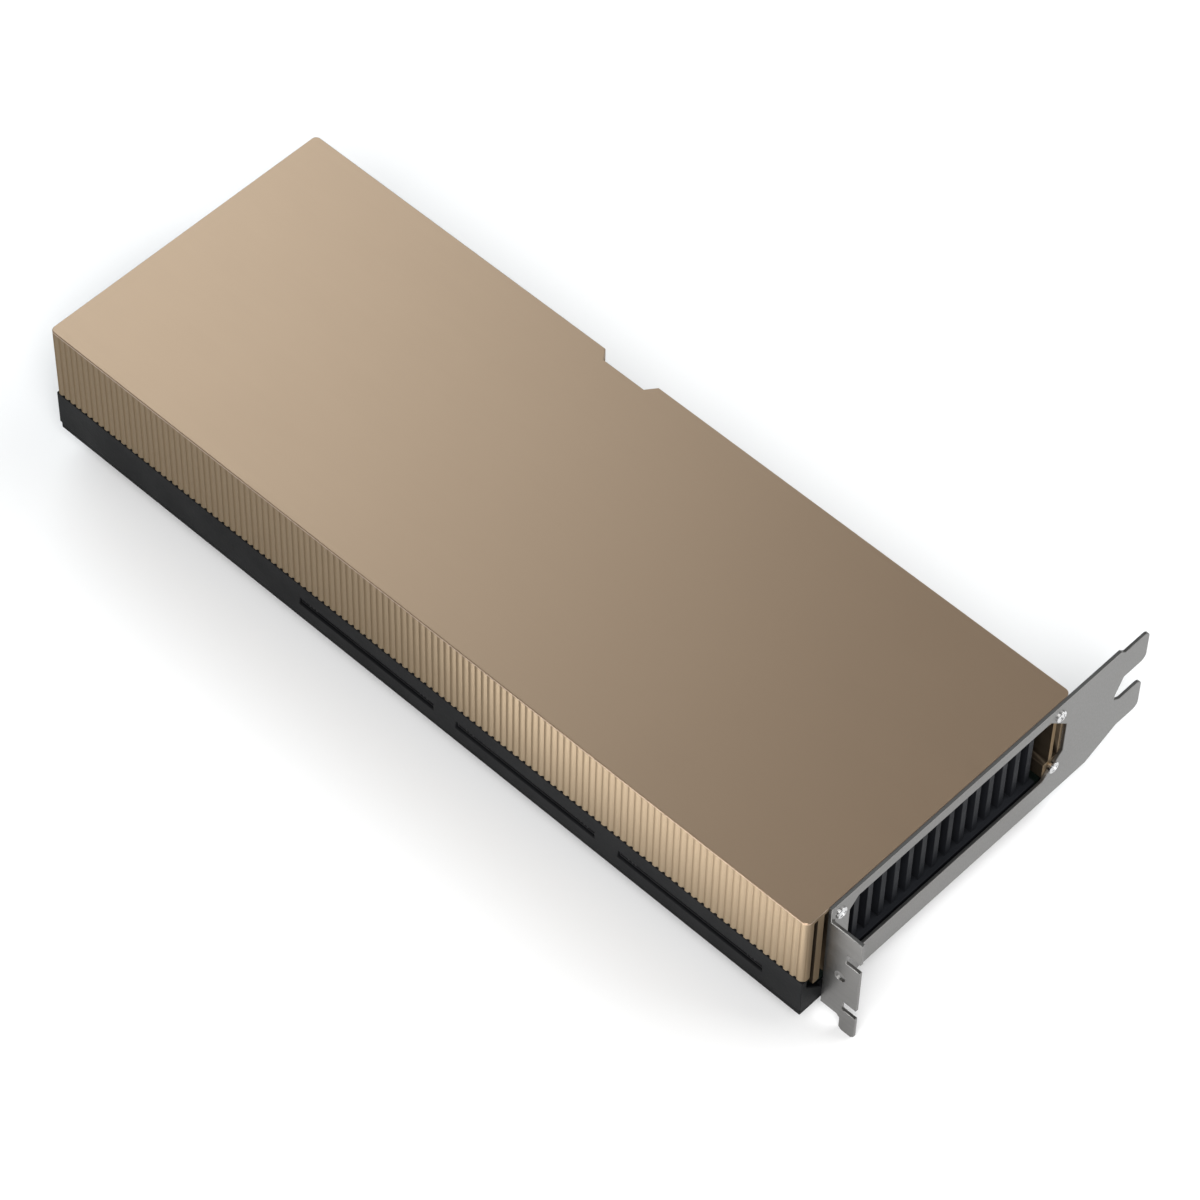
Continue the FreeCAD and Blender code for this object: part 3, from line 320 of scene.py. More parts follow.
@dataclass(frozen=True)
class CoatFinish:
    """Sprayed paint or moulded plastic with a fine orange peel."""

    name: str
    dark: Colour
    light: Colour
    roughness: Span
    peel: float = 1500.0
    relief: float = 20 * MICRON
    shine: float = 0.5
    patches: float = 40.0
    dull_spots: float = 90.0
    peel_strength: float = 0.5

    def make(self, effects: Effects) -> bpy.types.Material:
        """Builds the material.

        Args:
            effects: the shared node groups.

        Returns:
            The material.
        """
        canvas = Canvas(self.name, effects)
        patches = canvas.effect(Effect.MOTTLE, self.patches)
        tone = canvas.blend(patches, self.dark, self.light)
        canvas.join(tone, canvas.shader.inputs["Base Color"])
        dull_spots = canvas.effect(Effect.MOTTLE, self.dull_spots, *self.roughness)
        canvas.join(dull_spots, canvas.shader.inputs["Roughness"])
        canvas.bump(canvas.effect(Effect.SPECKLE, self.peel), self.relief, self.peel_strength)
        canvas.shader.inputs["Specular IOR Level"].default_value = self.shine
        return canvas.material


@dataclass(frozen=True)
class LaminateFinish:
    """A circuit board's mask with the faint relief of the tracks under it."""

    name: str
    mask: Colour
    track: Colour
    roughness: Span = (0.28, 0.4)
    coat: float = 0.3
    track_scale: float = 120.0
    track_width: float = 0.03
    between_tracks: float = 0.25
    relief: float = 30 * MICRON
    relief_strength: float = 0.4
    patches: float = 300.0

    def make(self, effects: Effects) -> bpy.types.Material:
        """Builds the material.

        Args:
            effects: the shared node groups.

        Returns:
            The material.
        """
        canvas = Canvas(self.name, effects)
        tracks = canvas.add("ShaderNodeTexBrick")
        tracks.inputs["Scale"].default_value = self.track_scale
        tracks.inputs["Mortar Size"].default_value = self.track_width
        tracks.inputs["Color1"].default_value = tinted((0.0, 0.0, 0.0))
        tracks.inputs["Color2"].default_value = tinted((self.between_tracks,) * 3)
        tracks.inputs["Mortar"].default_value = tinted((1.0, 1.0, 1.0))
        canvas.join(canvas.place, tracks.inputs["Vector"])
        mix = canvas.blend(tracks.outputs["Color"], self.mask, self.track)
        canvas.join(mix, canvas.shader.inputs["Base Color"])
        dull_spots = canvas.effect(Effect.MOTTLE, self.patches, *self.roughness)
        canvas.join(dull_spots, canvas.shader.inputs["Roughness"])
        canvas.bump(tracks.outputs["Color"], self.relief, self.relief_strength)
        canvas.shader.inputs["Coat Weight"].default_value = self.coat
        return canvas.material


class Finishes:
    """Every finish of the card, made once."""

    LIST = (
        MetalFinish("champagne", (0.392, 0.268, 0.170), (0.406, 0.280, 0.179), (0.37, 0.40),
                    grain=1700.0, relief=1.5 * MICRON, anodised=0.9),
        # Painted shade: a darker copy of champagne with a darker rim tint, for the ribbed sides and
        # front end faces. It stands in for the shade in the grooves, for the dim floor that the
        # sides mirror and for the shade behind the window. Its higher roughness is the ribs' own
        # satin finish.
        MetalFinish("ribbed_shaded_champagne", (0.265, 0.208, 0.145), (0.28, 0.221, 0.155), (0.52, 0.58),
                    grain=1700.0, relief=1.5 * MICRON, rim=(0.30, 0.22, 0.16)),
        # Painted shade: a much darker copy of champagne for the cover's inner duct faces. It stands
        # in for the shade inside the duct.
        MetalFinish("shaded_duct_champagne", (0.085, 0.066, 0.046), (0.10, 0.078, 0.055), (0.50, 0.60),
                    grain=1700.0, relief=1.5 * MICRON, rim=(0.30, 0.22, 0.16)),
        MetalFinish("steel", (0.17, 0.167, 0.162), (0.20, 0.196, 0.19), (0.32, 0.42),
                    relief=6 * MICRON),
        MetalFinish("screw", (0.55, 0.55, 0.55), (0.70, 0.70, 0.70), (0.22, 0.34), grain=5200.0),
        MetalFinish("black_screw", (0.03, 0.03, 0.032), (0.06, 0.06, 0.062), (0.3, 0.42),
                    metallic=0.8),
        MetalFinish("gold", (0.78, 0.52, 0.16), (0.86, 0.60, 0.22), (0.16, 0.26), grain=5200.0),
        MetalFinish("copper", (0.62, 0.28, 0.16), (0.72, 0.36, 0.22), (0.25, 0.4)),
        MetalFinish("can", (0.55, 0.55, 0.55), (0.68, 0.68, 0.68), (0.22, 0.32)),
        MetalFinish("washer", (0.40, 0.40, 0.40), (0.52, 0.52, 0.52), (0.3, 0.42)),
        CoatFinish("black_frame", (0.006, 0.0062, 0.0066), (0.008, 0.0083, 0.009), (0.42, 0.52),
                   shine=0.05),
        CoatFinish("black_plate", (0.004, 0.0043, 0.0046), (0.006, 0.0063, 0.0067), (0.45, 0.55),
                   shine=0.05),
        CoatFinish("black_fins", (0.009, 0.010, 0.012), (0.014, 0.015, 0.018), (0.45, 0.6),
                   peel=900.0, relief=6 * MICRON, shine=0.1),
        CoatFinish("moulded_black", (0.010, 0.010, 0.011), (0.016, 0.016, 0.017), (0.32, 0.5)),
        CoatFinish("chip", (0.012, 0.012, 0.013), (0.018, 0.018, 0.019), (0.2, 0.3)),
        CoatFinish("silicon", (0.05, 0.05, 0.06), (0.08, 0.08, 0.09), (0.06, 0.12),
                   relief=2 * MICRON),
        CoatFinish("ferrite", (0.06, 0.06, 0.065), (0.10, 0.10, 0.105), (0.45, 0.6)),
        CoatFinish("gap_pad", (0.30, 0.36, 0.42), (0.36, 0.42, 0.50), (0.6, 0.75)),
        LaminateFinish("board", (0.010, 0.016, 0.013), (0.018, 0.03, 0.024)),
        LaminateFinish("carrier", (0.02, 0.07, 0.03), (0.04, 0.11, 0.05)),
    )

    def __init__(self, effects: Effects) -> None:
        """Makes the materials from the shared node groups."""
        self.made = {finish.name: finish.make(effects) for finish in self.LIST}

    def __getitem__(self, name: str) -> bpy.types.Material:
        """The material of that name."""
        return self.made[name]


def dress(item: bpy.types.Object, *materials: bpy.types.Material) -> None:
    """Gives a piece or node its materials.

    Args:
        item: the piece or node.
        materials: its materials, in the order of their slots.
    """
    if item.data.materials:
        item.data.materials.clear()
    for material in materials:
        item.data.materials.append(material)


def new_piece(name: str, form: bmesh.types.BMesh, slot: str, *materials: bpy.types.Material,
              angle: float = SMOOTH_ANGLE) -> bpy.types.Object:
    """Turns a finished form into a piece of the card.

    Args:
        name: the piece's name.
        form: the mesh, which is freed.
        slot: the record's material slot; not used.
        materials: its materials.
        angle: edges that turn less than this many degrees are shaded smooth.

    Returns:
        The piece.
    """
    mesh = bpy.data.meshes.new(name)
    form.to_mesh(mesh)
    form.free()
    piece = bpy.data.objects.new(name, mesh)
    bpy.context.collection.objects.link(piece)
    dress(piece, *materials)
    mesh.shade_smooth()
    mesh.set_sharp_from_angle(angle=math.radians(angle))
    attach(piece, "root")
    LOG.info("%s: %d faces", name, len(mesh.polygons))
    return piece


def mark_outward(form: bmesh.types.BMesh, angle: float = SMOOTH_ANGLE,
                 level_only: bool = False) -> None:
    """Marks the edges that a bevel may round: those that turn outwards by more than an angle.

    Args:
        form: the mesh, which holds the marks as bevel weights.
        angle: the angle, in degrees.
        level_only: whether upright edges are left as they are.
    """
    weight = form.edges.layers.float.new("bevel_weight_edge")
    for edge in form.edges:
        start, end = (vert.co for vert in edge.verts)
        upright = abs(start.z - end.z) > (start - end).length / 2
        turned_out = edge.is_convex and edge.calc_face_angle(0.0) > math.radians(angle)
        if turned_out and not (level_only and upright):
            edge[weight] = 1.0


def soften(piece: bpy.types.Object, width: float, segments: int = 2) -> None:
    """Rounds a piece's marked edges with a live bevel and keeps its flat faces flat in the light.

    Args:
        piece: the piece.
        width: width of the rounding, in metres.
        segments: its number of steps.
    """
    bevel = piece.modifiers.new("rounded edges", "BEVEL")
    bevel.width = width
    bevel.segments = segments
    bevel.limit_method = "WEIGHT"
    bevel.use_clamp_overlap = False
    flat = piece.modifiers.new("flat faces stay flat", "WEIGHTED_NORMAL")
    flat.keep_sharp = True
    flat.weight = FLAT_WEIGHT


def copied(frame: dict, node: str) -> bmesh.types.BMesh:
    """A CAD node's shape as a form with whole faces, ready to be worked on.

    Args:
        node: the node's name.

    Returns:
        The form.
    """
    form = bmesh.new()
    form.from_mesh(frame["nodes"][node].data)
    bmesh.ops.remove_doubles(form, verts=form.verts, dist=MICRON)
    bmesh.ops.dissolve_degenerate(form, dist=MICRON, edges=form.edges)
    bmesh.ops.dissolve_limit(form, angle_limit=math.radians(FLAT_ANGLE), verts=form.verts,
                             edges=form.edges)
    return form


def refined(frame: dict, node: str, slot: str, material: bpy.types.Material, width: float,
            segments: int = 2) -> bpy.types.Object:
    """A piece that stands for a CAD node, with that node's shape and rounded edges.

    Args:
        node: the node's name.
        slot: the record's material slot.
        material: the piece's material.
        width: width of the rounding, in metres.
        segments: its number of steps.

    Returns:
        The piece.
    """
    form = copied(frame, node)
    mark_outward(form)
    piece = new_piece(node + "_shell", form, slot, material)
    soften(piece, width, segments)
    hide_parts(node)
    return piece


def block(form: bmesh.types.BMesh, low: Vector, high: Vector) -> list[bmesh.types.BMVert]:
    """Adds a box between two corners.

    Args:
        form: the mesh that it is added to.
        low: its lowest corner.
        high: its highest corner.

    Returns:
        Its vertices.
    """
    size = high - low
    place = Matrix.Translation((low + high) / 2) @ Matrix.Diagonal((*size, 1.0))
    return bmesh.ops.create_cube(form, size=1.0, matrix=place)["verts"]


def cross(form: bmesh.types.BMesh, reach: float, half: float, low: float, high: float) -> None:
    """Adds a cross of two level bars.

    Args:
        form: the mesh that it is added to.
        reach: half the length of a bar.
        half: half its width.
        low: the height of its underside.
        high: the height of its top.
    """
    for along, across in ((reach, half), (half, reach)):
        block(form, Vector((-along, -across, low)), Vector((along, across, high)))


def turned(form: bmesh.types.BMesh, profile: list[tuple[float, float]], steps: int) -> None:
    """Adds a turned shape: a profile of (radius, height) points spun about Z.

    Args:
        form: the mesh that it is added to.
        profile: the points, from the axis out and back to the axis.
        steps: how many steps the spin has.
    """
    rim = [form.verts.new((radius, 0.0, height)) for radius, height in profile]
    edges = [form.edges.new((rim[index], rim[index + 1])) for index in range(len(rim) - 1)]
    bmesh.ops.spin(form, geom=rim + edges, cent=(0, 0, 0), axis=(0, 0, 1), dvec=(0, 0, 0),
                   angle=math.tau, steps=steps, use_merge=True, use_duplicate=False)
    bmesh.ops.remove_doubles(form, verts=form.verts, dist=MICRON)
    bmesh.ops.recalc_face_normals(form, faces=form.faces)


def carve(form: bmesh.types.BMesh, cutter: bmesh.types.BMesh) -> bmesh.types.BMesh:
    """Cuts one form out of another.

    Args:
        form: what is cut. It is freed.
        cutter: what is taken away. It is freed.

    Returns:
        What is left.
    """
    made = []
    for part in (form, cutter):
        mesh = bpy.data.meshes.new("carving")
        part.to_mesh(mesh)
        part.free()
        item = bpy.data.objects.new("carving", mesh)
        bpy.context.collection.objects.link(item)
        made.append(item)
    knife = made[0].modifiers.new("cut", "BOOLEAN")
    knife.operation = "DIFFERENCE"
    knife.solver = "EXACT"
    knife.use_self = True
    knife.object = made[1]
    bpy.context.view_layer.update()
    depsgraph = bpy.context.evaluated_depsgraph_get()
    result = bpy.data.meshes.new_from_object(made[0].evaluated_get(depsgraph))
    left = bmesh.new()
    left.from_mesh(result)
    for item in made:
        mesh = item.data
        bpy.data.objects.remove(item)
        bpy.data.meshes.remove(mesh)
    bpy.data.meshes.remove(result)
    return left


def repeated(single: bmesh.types.BMesh, places: list[Matrix]) -> bmesh.types.BMesh:
    """Copies a form to every place.

    Args:
        single: the form, which is freed.
        places: where the copies go.

    Returns:
        All the copies in one form.
    """
    mesh = bpy.data.meshes.new("single")
    single.to_mesh(mesh)
    single.free()
    every = bmesh.new()
    for place in places:
        before = set(every.verts)
        every.from_mesh(mesh)
        fresh = [vert for vert in every.verts if vert not in before]
        bmesh.ops.transform(every, matrix=place, verts=fresh)
    bpy.data.meshes.remove(mesh)
    return every


class Drive(Enum):
    """What a screw's head is turned with."""

    CROSS = "cross"
    SIX_LOBE = "six_lobe"


@dataclass(frozen=True)
class Plan:
    """Places that several sub-assemblies share, in metres in the card's own frame.

    The screw lines are measured across the card from its near side.
    """

    front: float = 127.95 * MM
    rear: float = -139.05 * MM
    near: float = -63.4 * MM
    top: float = 46.5 * MM
    seam: float = 21.2 * MM
    board: float = 11.7 * MM
    underside: float = 6.7 * MM
    screw_lines: Span = (11.3 * MM, 92.6 * MM)


@dataclass
class Screws:
    """A set of equal screws with domed or flat heads.

    The tool's print in a head is measured in shares of the head's radius and height.
    """

    name: str
    node: str
    slot: str
    places: list[Matrix]
    drive: Drive
    head_radius: float
    head_height: float
    shank_radius: float
    shank_length: float
    dome: float = 0.25
    dome_rings: int = 5
    steps: int = 28
    print_depth: float = 0.6
    print_reach: float = 0.62
    cross_width: float = 0.15
    lobe_reach: float = 0.85
    lobe_waist: float = 0.72
    lobes: int = 6

    def head(self) -> bmesh.types.BMesh:
        """One screw whose seat is at the origin and whose head points up Z.

        Returns:
            The screw's form.
        """
        form = bmesh.new()
        edge = self.head_height * (1.0 - self.dome)
        profile = [(0.0, -self.shank_length), (self.shank_radius, -self.shank_length),
                   (self.shank_radius, 0.0), (self.head_radius, 0.0), (self.head_radius, edge)]
        for index in range(1, self.dome_rings):
            turn = math.pi / 2 * index / self.dome_rings
            profile.append((self.head_radius * math.cos(turn),
                            edge + (self.head_height - edge) * math.sin(turn)))
        profile.append((0.0, self.head_height))
        turned(form, profile, self.steps)
        return form

    def recess(self) -> bmesh.types.BMesh:
        """The tool's print in the head.

        Returns:
            The form that is cut out of it.
        """
        cutter = bmesh.new()
        depth = self.head_height * self.print_depth
        reach = self.head_radius * self.print_reach
        if self.drive is Drive.CROSS:
            cross(cutter, reach, self.head_radius * self.cross_width, self.head_height - depth,
                  self.head_height + depth)
        else:
            place = Matrix.Translation((0, 0, self.head_height))
            reach *= self.lobe_reach
            bmesh.ops.create_cone(cutter, cap_ends=True, segments=2 * self.lobes, radius1=reach,
                                  radius2=reach, depth=depth * 2, matrix=place)
            for vert in cutter.verts:
                turn = math.atan2(vert.co.y, vert.co.x) / math.tau
                if round(2 * self.lobes * turn) % 2:
                    vert.co.x *= self.lobe_waist
                    vert.co.y *= self.lobe_waist
        return cutter

    def build(self, material: bpy.types.Material) -> bpy.types.Object:
        """Builds the set.

        Args:
            material: the screws' material.

        Returns:
            The piece.
        """
        single = carve(self.head(), self.recess())
        piece = new_piece(self.name, repeated(single, self.places), self.slot, material)
        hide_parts(self.node)
        return piece


def facing(x: float, y: float, z: float, direction: tuple[float, float, float],
           turn: float) -> Matrix:
    """A place whose Z axis points one way.

    Args:
        x: place along the card.
        y: place across it.
        z: height.
        direction: where the Z axis points.
        turn: turn about that axis, in degrees.

    Returns:
        The place.
    """
    aim = Vector(direction).to_track_quat("Z", "Y").to_matrix().to_4x4()
    return Matrix.Translation((x, y, z)) @ aim @ Matrix.Rotation(math.radians(turn), 4, "Z")


@dataclass
class Shroud:
    """The champagne cover and the rear plate that closes it."""

    plan: Plan
    edge: float = 0.22 * MM
    plate_edge: float = 0.15 * MM
    width: float = 97.0 * MM
    corner: float = 1.8 * MM
    rib_depth: float = 0.46 * MM
    lip: float = 0.55 * MM
    run_out: float = 0.35 * MM
    notch_setback: float = 149.5 * MM
    notch_half: float = 9.5 * MM
    notch_depth: float = 3.5 * MM
    notch_slack: float = 0.05 * MM
    edge_angle: float = 60.0
    smooth_angle: float = 50.0
    post_slots: tuple[Span, ...] = ((89.3 * MM, 91.4 * MM), (92.7 * MM, 94.7 * MM))
    post_length: float = 8.1 * MM
    post_foot: float = 1.5 * MM
    post_head: float = 6.8 * MM

    def end_ribs(self, form: bmesh.types.BMesh) -> None:
        """Ends the ribs a little below the top, which keeps a straight lip all round.

        Args:
            form: the cover.
        """
        for drop in (self.lip, self.lip + self.run_out):
            every = form.verts[:] + form.edges[:] + form.faces[:]
            bmesh.ops.bisect_plane(form, geom=every, dist=MICRON / 10,
                                   plane_co=(0.0, 0.0, self.plan.top - drop),
                                   plane_no=(0.0, 0.0, 1.0))
        near = self.plan.near
        far = near + self.width
        notch = self.plan.front - self.notch_setback
        for vert in form.verts:
            ribbed = self.plan.rear + self.corner < vert.co.x < self.plan.front - self.corner
            if not ribbed or vert.co.z < self.plan.top - self.lip - MICRON:
                continue
            if near < vert.co.y < near + self.rib_depth:
                vert.co.y = near
            elif far - self.rib_depth < vert.co.y < far:
                vert.co.y = far
            beside = vert.co.x - notch
            at_mouth = abs(beside) < self.notch_half + self.notch_slack
            if at_mouth and vert.co.y > far - self.rib_depth:
                vert.co.x = notch + math.copysign(self.notch_half, beside)
        bmesh.ops.remove_doubles(form, verts=form.verts, dist=2 * MICRON)

    def open_posts(self, form: bmesh.types.BMesh) -> bmesh.types.BMesh:
        """Hollows the far end post between its two screws, so the duct wall stands free there.

        Args:
            form: the cover. It is freed.

        Returns:
            The cover with the hollows.
        """
        cutter = bmesh.new()
        for low, high in self.post_slots:
            block(cutter, Vector((self.plan.front - self.post_length, self.plan.near + low,
                                  self.plan.seam + self.post_foot)),
                  Vector((self.plan.front + self.post_length, self.plan.near + high,
                          self.plan.top - self.post_head)))
        return carve(form, cutter)

    def cover(self, frame: dict, *materials: bpy.types.Material) -> bpy.types.Object:
        """The cover with its lip, its ribs and its hollowed end post.

        Args:
            materials: the materials of its flat top; of its ribbed sides and front end faces,
                darker by painted shade; and of its duct inside, much darker by painted shade.

        Returns:
            The piece.
        """
        form = self.open_posts(copied(frame, "cover"))
        self.end_ribs(form)
        mark_outward(form, self.edge_angle, level_only=True)
        weight = form.edges.layers.float["bevel_weight_edge"]
        for edge in form.edges:
            if min(vert.co.x for vert in edge.verts) > self.plan.front - self.rib_depth:
                edge[weight] = 0.0
        middle = self.plan.near + self.width / 2
        for face in form.faces:
            centre = face.calc_center_median()
            aside = centre.y - middle
            outside = face.normal.y * aside > 0.0 and abs(aside) > self.width / 2 - self.notch_depth
            # The top and lip keep champagne. Sides, corners and front-facing end faces take the
            # darker copy, which is partly painted shade. The duct's inner faces take the much
            # darker copy, which is painted shade.
            if centre.z > self.plan.top - self.lip:
                face.material_index = 0
            elif outside or face.normal.x > SQUARE_ON or abs(aside) > self.width / 2 - self.corner:
                face.material_index = 1
            else:
                face.material_index = 2
        piece = new_piece("cover_shell", form, "champagne", *materials, angle=self.smooth_angle)
        soften(piece, self.edge)
        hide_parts("cover")
        return piece

    def build(self, frame: dict, finishes: Finishes) -> None:
        """Builds the cover and the rear plate.

        Args:
            finishes: the card's materials.
        """
        # The second and third materials are darker copies of champagne that carry painted shade.
        self.cover(frame, finishes["champagne"], finishes["ribbed_shaded_champagne"],
                   finishes["shaded_duct_champagne"])
        refined(frame, "rear_plate", "black_frame", finishes["black_frame"], self.plate_edge)


@dataclass
class Chassis:
    """The black frame with its port caps, and the backplate."""

    plan: Plan
    edge: float = 0.25 * MM
    cap_count: int = 3
    cap_length: float = 48.5 * MM
    cap_height: float = 2.5 * MM
    cap_depth: float = 32.15 * MM
    cap_setback: float = 37.3 * MM
    cap_pitch: float = 56.65 * MM
    cap_recess: float = 0.8 * MM
    cap_thickness: float = 1.0 * MM
    cap_margin: float = 0.45 * MM
    panel_depth: float = 0.35 * MM
    grip_count: int = 3
    grip_setback: float = 3.0 * MM
    grip_pitch: float = 1.2 * MM
    grip_half_width: float = 0.25 * MM
    grip_half_height: float = 0.7 * MM
    grip_top: float = 0.05 * MM
    grip_root: float = 0.45 * MM

    def caps(self, material: bpy.types.Material) -> bpy.types.Object:
        """Three caps, each with a sunk panel and grip ribs.

        Args:
            material: the caps' material.

        Returns:
            The piece.
        """
        single = bmesh.new()
        half = self.cap_length / 2
        block(single, Vector((-half, 0.0, -self.cap_height / 2)),
              Vector((half, self.cap_thickness, self.cap_height / 2)))
        single.normal_update()
        outer = [face for face in single.faces if face.normal.y < -SQUARE_ON]
        bmesh.ops.inset_region(single, faces=outer, thickness=self.cap_margin, depth=0.0)
        outer = [face for face in single.faces if face.normal.y < -SQUARE_ON]
        panel = [max(outer, key=lambda face: face.calc_area())]
        moved = bmesh.ops.extrude_face_region(single, geom=panel)["geom"]
        bmesh.ops.delete(single, geom=panel, context="FACES")
        bmesh.ops.translate(single, vec=(0.0, self.panel_depth, 0.0),
                            verts=[item for item in moved if isinstance(item, bmesh.types.BMVert)])
        for side in (-1, 1):
            for index in range(self.grip_count):
                middle = side * (half - self.grip_setback - index * self.grip_pitch)
                low, high = middle - self.grip_half_width, middle + self.grip_half_width
                block(single, Vector((low, self.grip_top, -self.grip_half_height)),
                      Vector((high, self.grip_root, self.grip_half_height)))
        places = [Matrix.Translation((self.plan.front - self.cap_setback - index * self.cap_pitch,
                                      self.plan.near + self.cap_recess,
                                      self.plan.top - self.cap_depth))
                  for index in range(self.cap_count)]
        piece = new_piece("port_caps", repeated(single, places), "cap", material)
        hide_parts("bridge_port_caps")
        return piece

    def build(self, frame: dict, finishes: Finishes) -> None:
        """Builds the frame, the backplate and the caps.

        Args:
            finishes: the card's materials.
        """
        refined(frame, "base_frame", "black_frame", finishes["black_frame"], self.edge)
        refined(frame, "backplate", "black_plate", finishes["black_plate"], self.edge)
        self.caps(finishes["moulded_black"])


@dataclass
class SlotBracket:
    """The steel bracket and its four screws."""

    plan: Plan
    edge: float = 0.14 * MM
    edge_steps: int = 3
    sheet: float = 1.0 * MM
    screw_drops: Span = (4.9 * MM, 26.5 * MM)
    first_turn: float = 20.0
    turn_step: float = 35.0

    def build(self, frame: dict, finishes: Finishes) -> None:
        """Builds the bracket and its screws.

        Args:
            finishes: the card's materials.
        """
        refined(frame, "io_bracket", "bracket_steel", finishes["steel"], self.edge, self.edge_steps)
        places = []
        for index, across in enumerate(self.plan.screw_lines):
            for count, drop in enumerate(self.screw_drops):
                turn = self.first_turn + self.turn_step * (index + 2 * count)
                places.append(facing(self.plan.front + self.sheet, self.plan.near + across,
                                     self.plan.top - drop, (1, 0, 0), turn))
        Screws("window_screws", "bracket_screws", "screw_steel", places, Drive.CROSS,
               head_radius=1.75 * MM, head_height=0.75 * MM, shank_radius=0.95 * MM,
               shank_length=7.25 * MM, dome=0.55).build(finishes["screw"])


@dataclass
class RearEnd:
    """What shows at the rear end: screws, capacitors, the power socket and its pins.

    A can's foot is given as shares of its radius and heights over the seat, and its crown as shares
    and depths below the top. The vent's reach and the seat's sizes are shares of the radius too.
    """

    plan: Plan
    socket_edge: float = 0.12 * MM
    pin_edge: float = 0.15 * MM
    screw_levels: Span = (4.0 * MM, 19.8 * MM)
    first_turn: float = 15.0
    turn_step: float = 40.0
    can_radius: float = 3.5 * MM
    can_height: float = 9.0 * MM
    can_setback: float = 12.0 * MM
    first_can: float = 43.0 * MM
    can_pitch: float = 8.5 * MM
    can_count: int = 5
    can_steps: int = 32
    can_foot: tuple[Span, ...] = (
        (0.0, 0.0), (0.93, 0.0), (0.99, 0.4 * MM), (0.9, 0.9 * MM), (0.99, 1.4 * MM))
    can_crown: tuple[Span, ...] = ((0.99, 0.5 * MM), (0.93, 0.1 * MM), (0.8, 0.0), (0.0, 0.0))
    vent_half: float = 0.12 * MM
    vent_reach: float = 0.6
    vent_depth: float = 0.15 * MM
    vent_cut: float = 1.0 * MM
    seat: float = 1.3 * MM
    seat_half: float = 0.98
    seat_chamfer: float = 0.4

    def screws(self, material: bpy.types.Material) -> None:
        """The rear plate's four screws.

        Args:
            material: their material.
        """
        places = []
        for index, across in enumerate(self.plan.screw_lines):
            for level in self.screw_levels:
                turn = self.first_turn + self.turn_step * index + level / MM
                places.append(facing(self.plan.rear, self.plan.near + across,
                                     self.plan.seam + level, (-1, 0, 0), turn))
        Screws("rear_screws", "rear_plate_screws", "black_screws", places, Drive.CROSS,
               head_radius=1.75 * MM, head_height=0.75 * MM, shank_radius=0.95 * MM,
               shank_length=7.45 * MM, dome=0.5).build(material)

    def cans(self, can: bpy.types.Material, seat: bpy.types.Material) -> None:
        """The row of input capacitors: rounded cans with a vent cross, each on a chamfered seat.

        Args:
            can: the material of the cans.
            seat: the material of their seats.
        """
        radius = self.can_radius
        form = bmesh.new()
        profile = [(radius * share, self.seat + rise) for share, rise in self.can_foot]
        profile += [(radius * share, self.can_height - drop) for share, drop in self.can_crown]
        turned(form, profile, self.can_steps)
        vent = bmesh.new()
        bottom = self.can_height - self.vent_depth
        cross(vent, radius * self.vent_reach, self.vent_half, bottom, bottom + self.vent_cut)
        places = [Matrix.Translation((self.plan.rear + self.can_setback,
                                      self.plan.near + self.first_can + index * self.can_pitch,
                                      self.plan.board)) for index in range(self.can_count)]
        cans = new_piece("capacitor_cans", repeated(carve(form, vent), places), "can", can)
        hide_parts("bulk_capacitors")
        base = bmesh.new()
        side = radius * self.seat_half
        block(base, Vector((-side, -side, 0.0)), Vector((side, side, self.seat)))
        upright = [edge for edge in base.edges
                   if abs(edge.verts[0].co.z - edge.verts[1].co.z) > self.seat / 2
                   and edge.verts[0].co.x < 0.0]
        bmesh.ops.bevel(base, geom=upright, offset=radius * self.seat_chamfer, segments=1,
                        profile=0.5, affect="EDGES", material=-1)
        new_piece("capacitor_seats", repeated(base, places), "socket", seat)

    def build(self, frame: dict, finishes: Finishes) -> None:
        """Builds the rear end's pieces.

        Args:
            finishes: the card's materials.
        """
        self.screws(finishes["black_screw"])
        self.cans(finishes["can"], finishes["moulded_black"])
        refined(frame, "power_connector", "socket", finishes["moulded_black"], self.socket_edge)
        refined(frame, "power_pins", "gold", finishes["gold"], self.pin_edge)


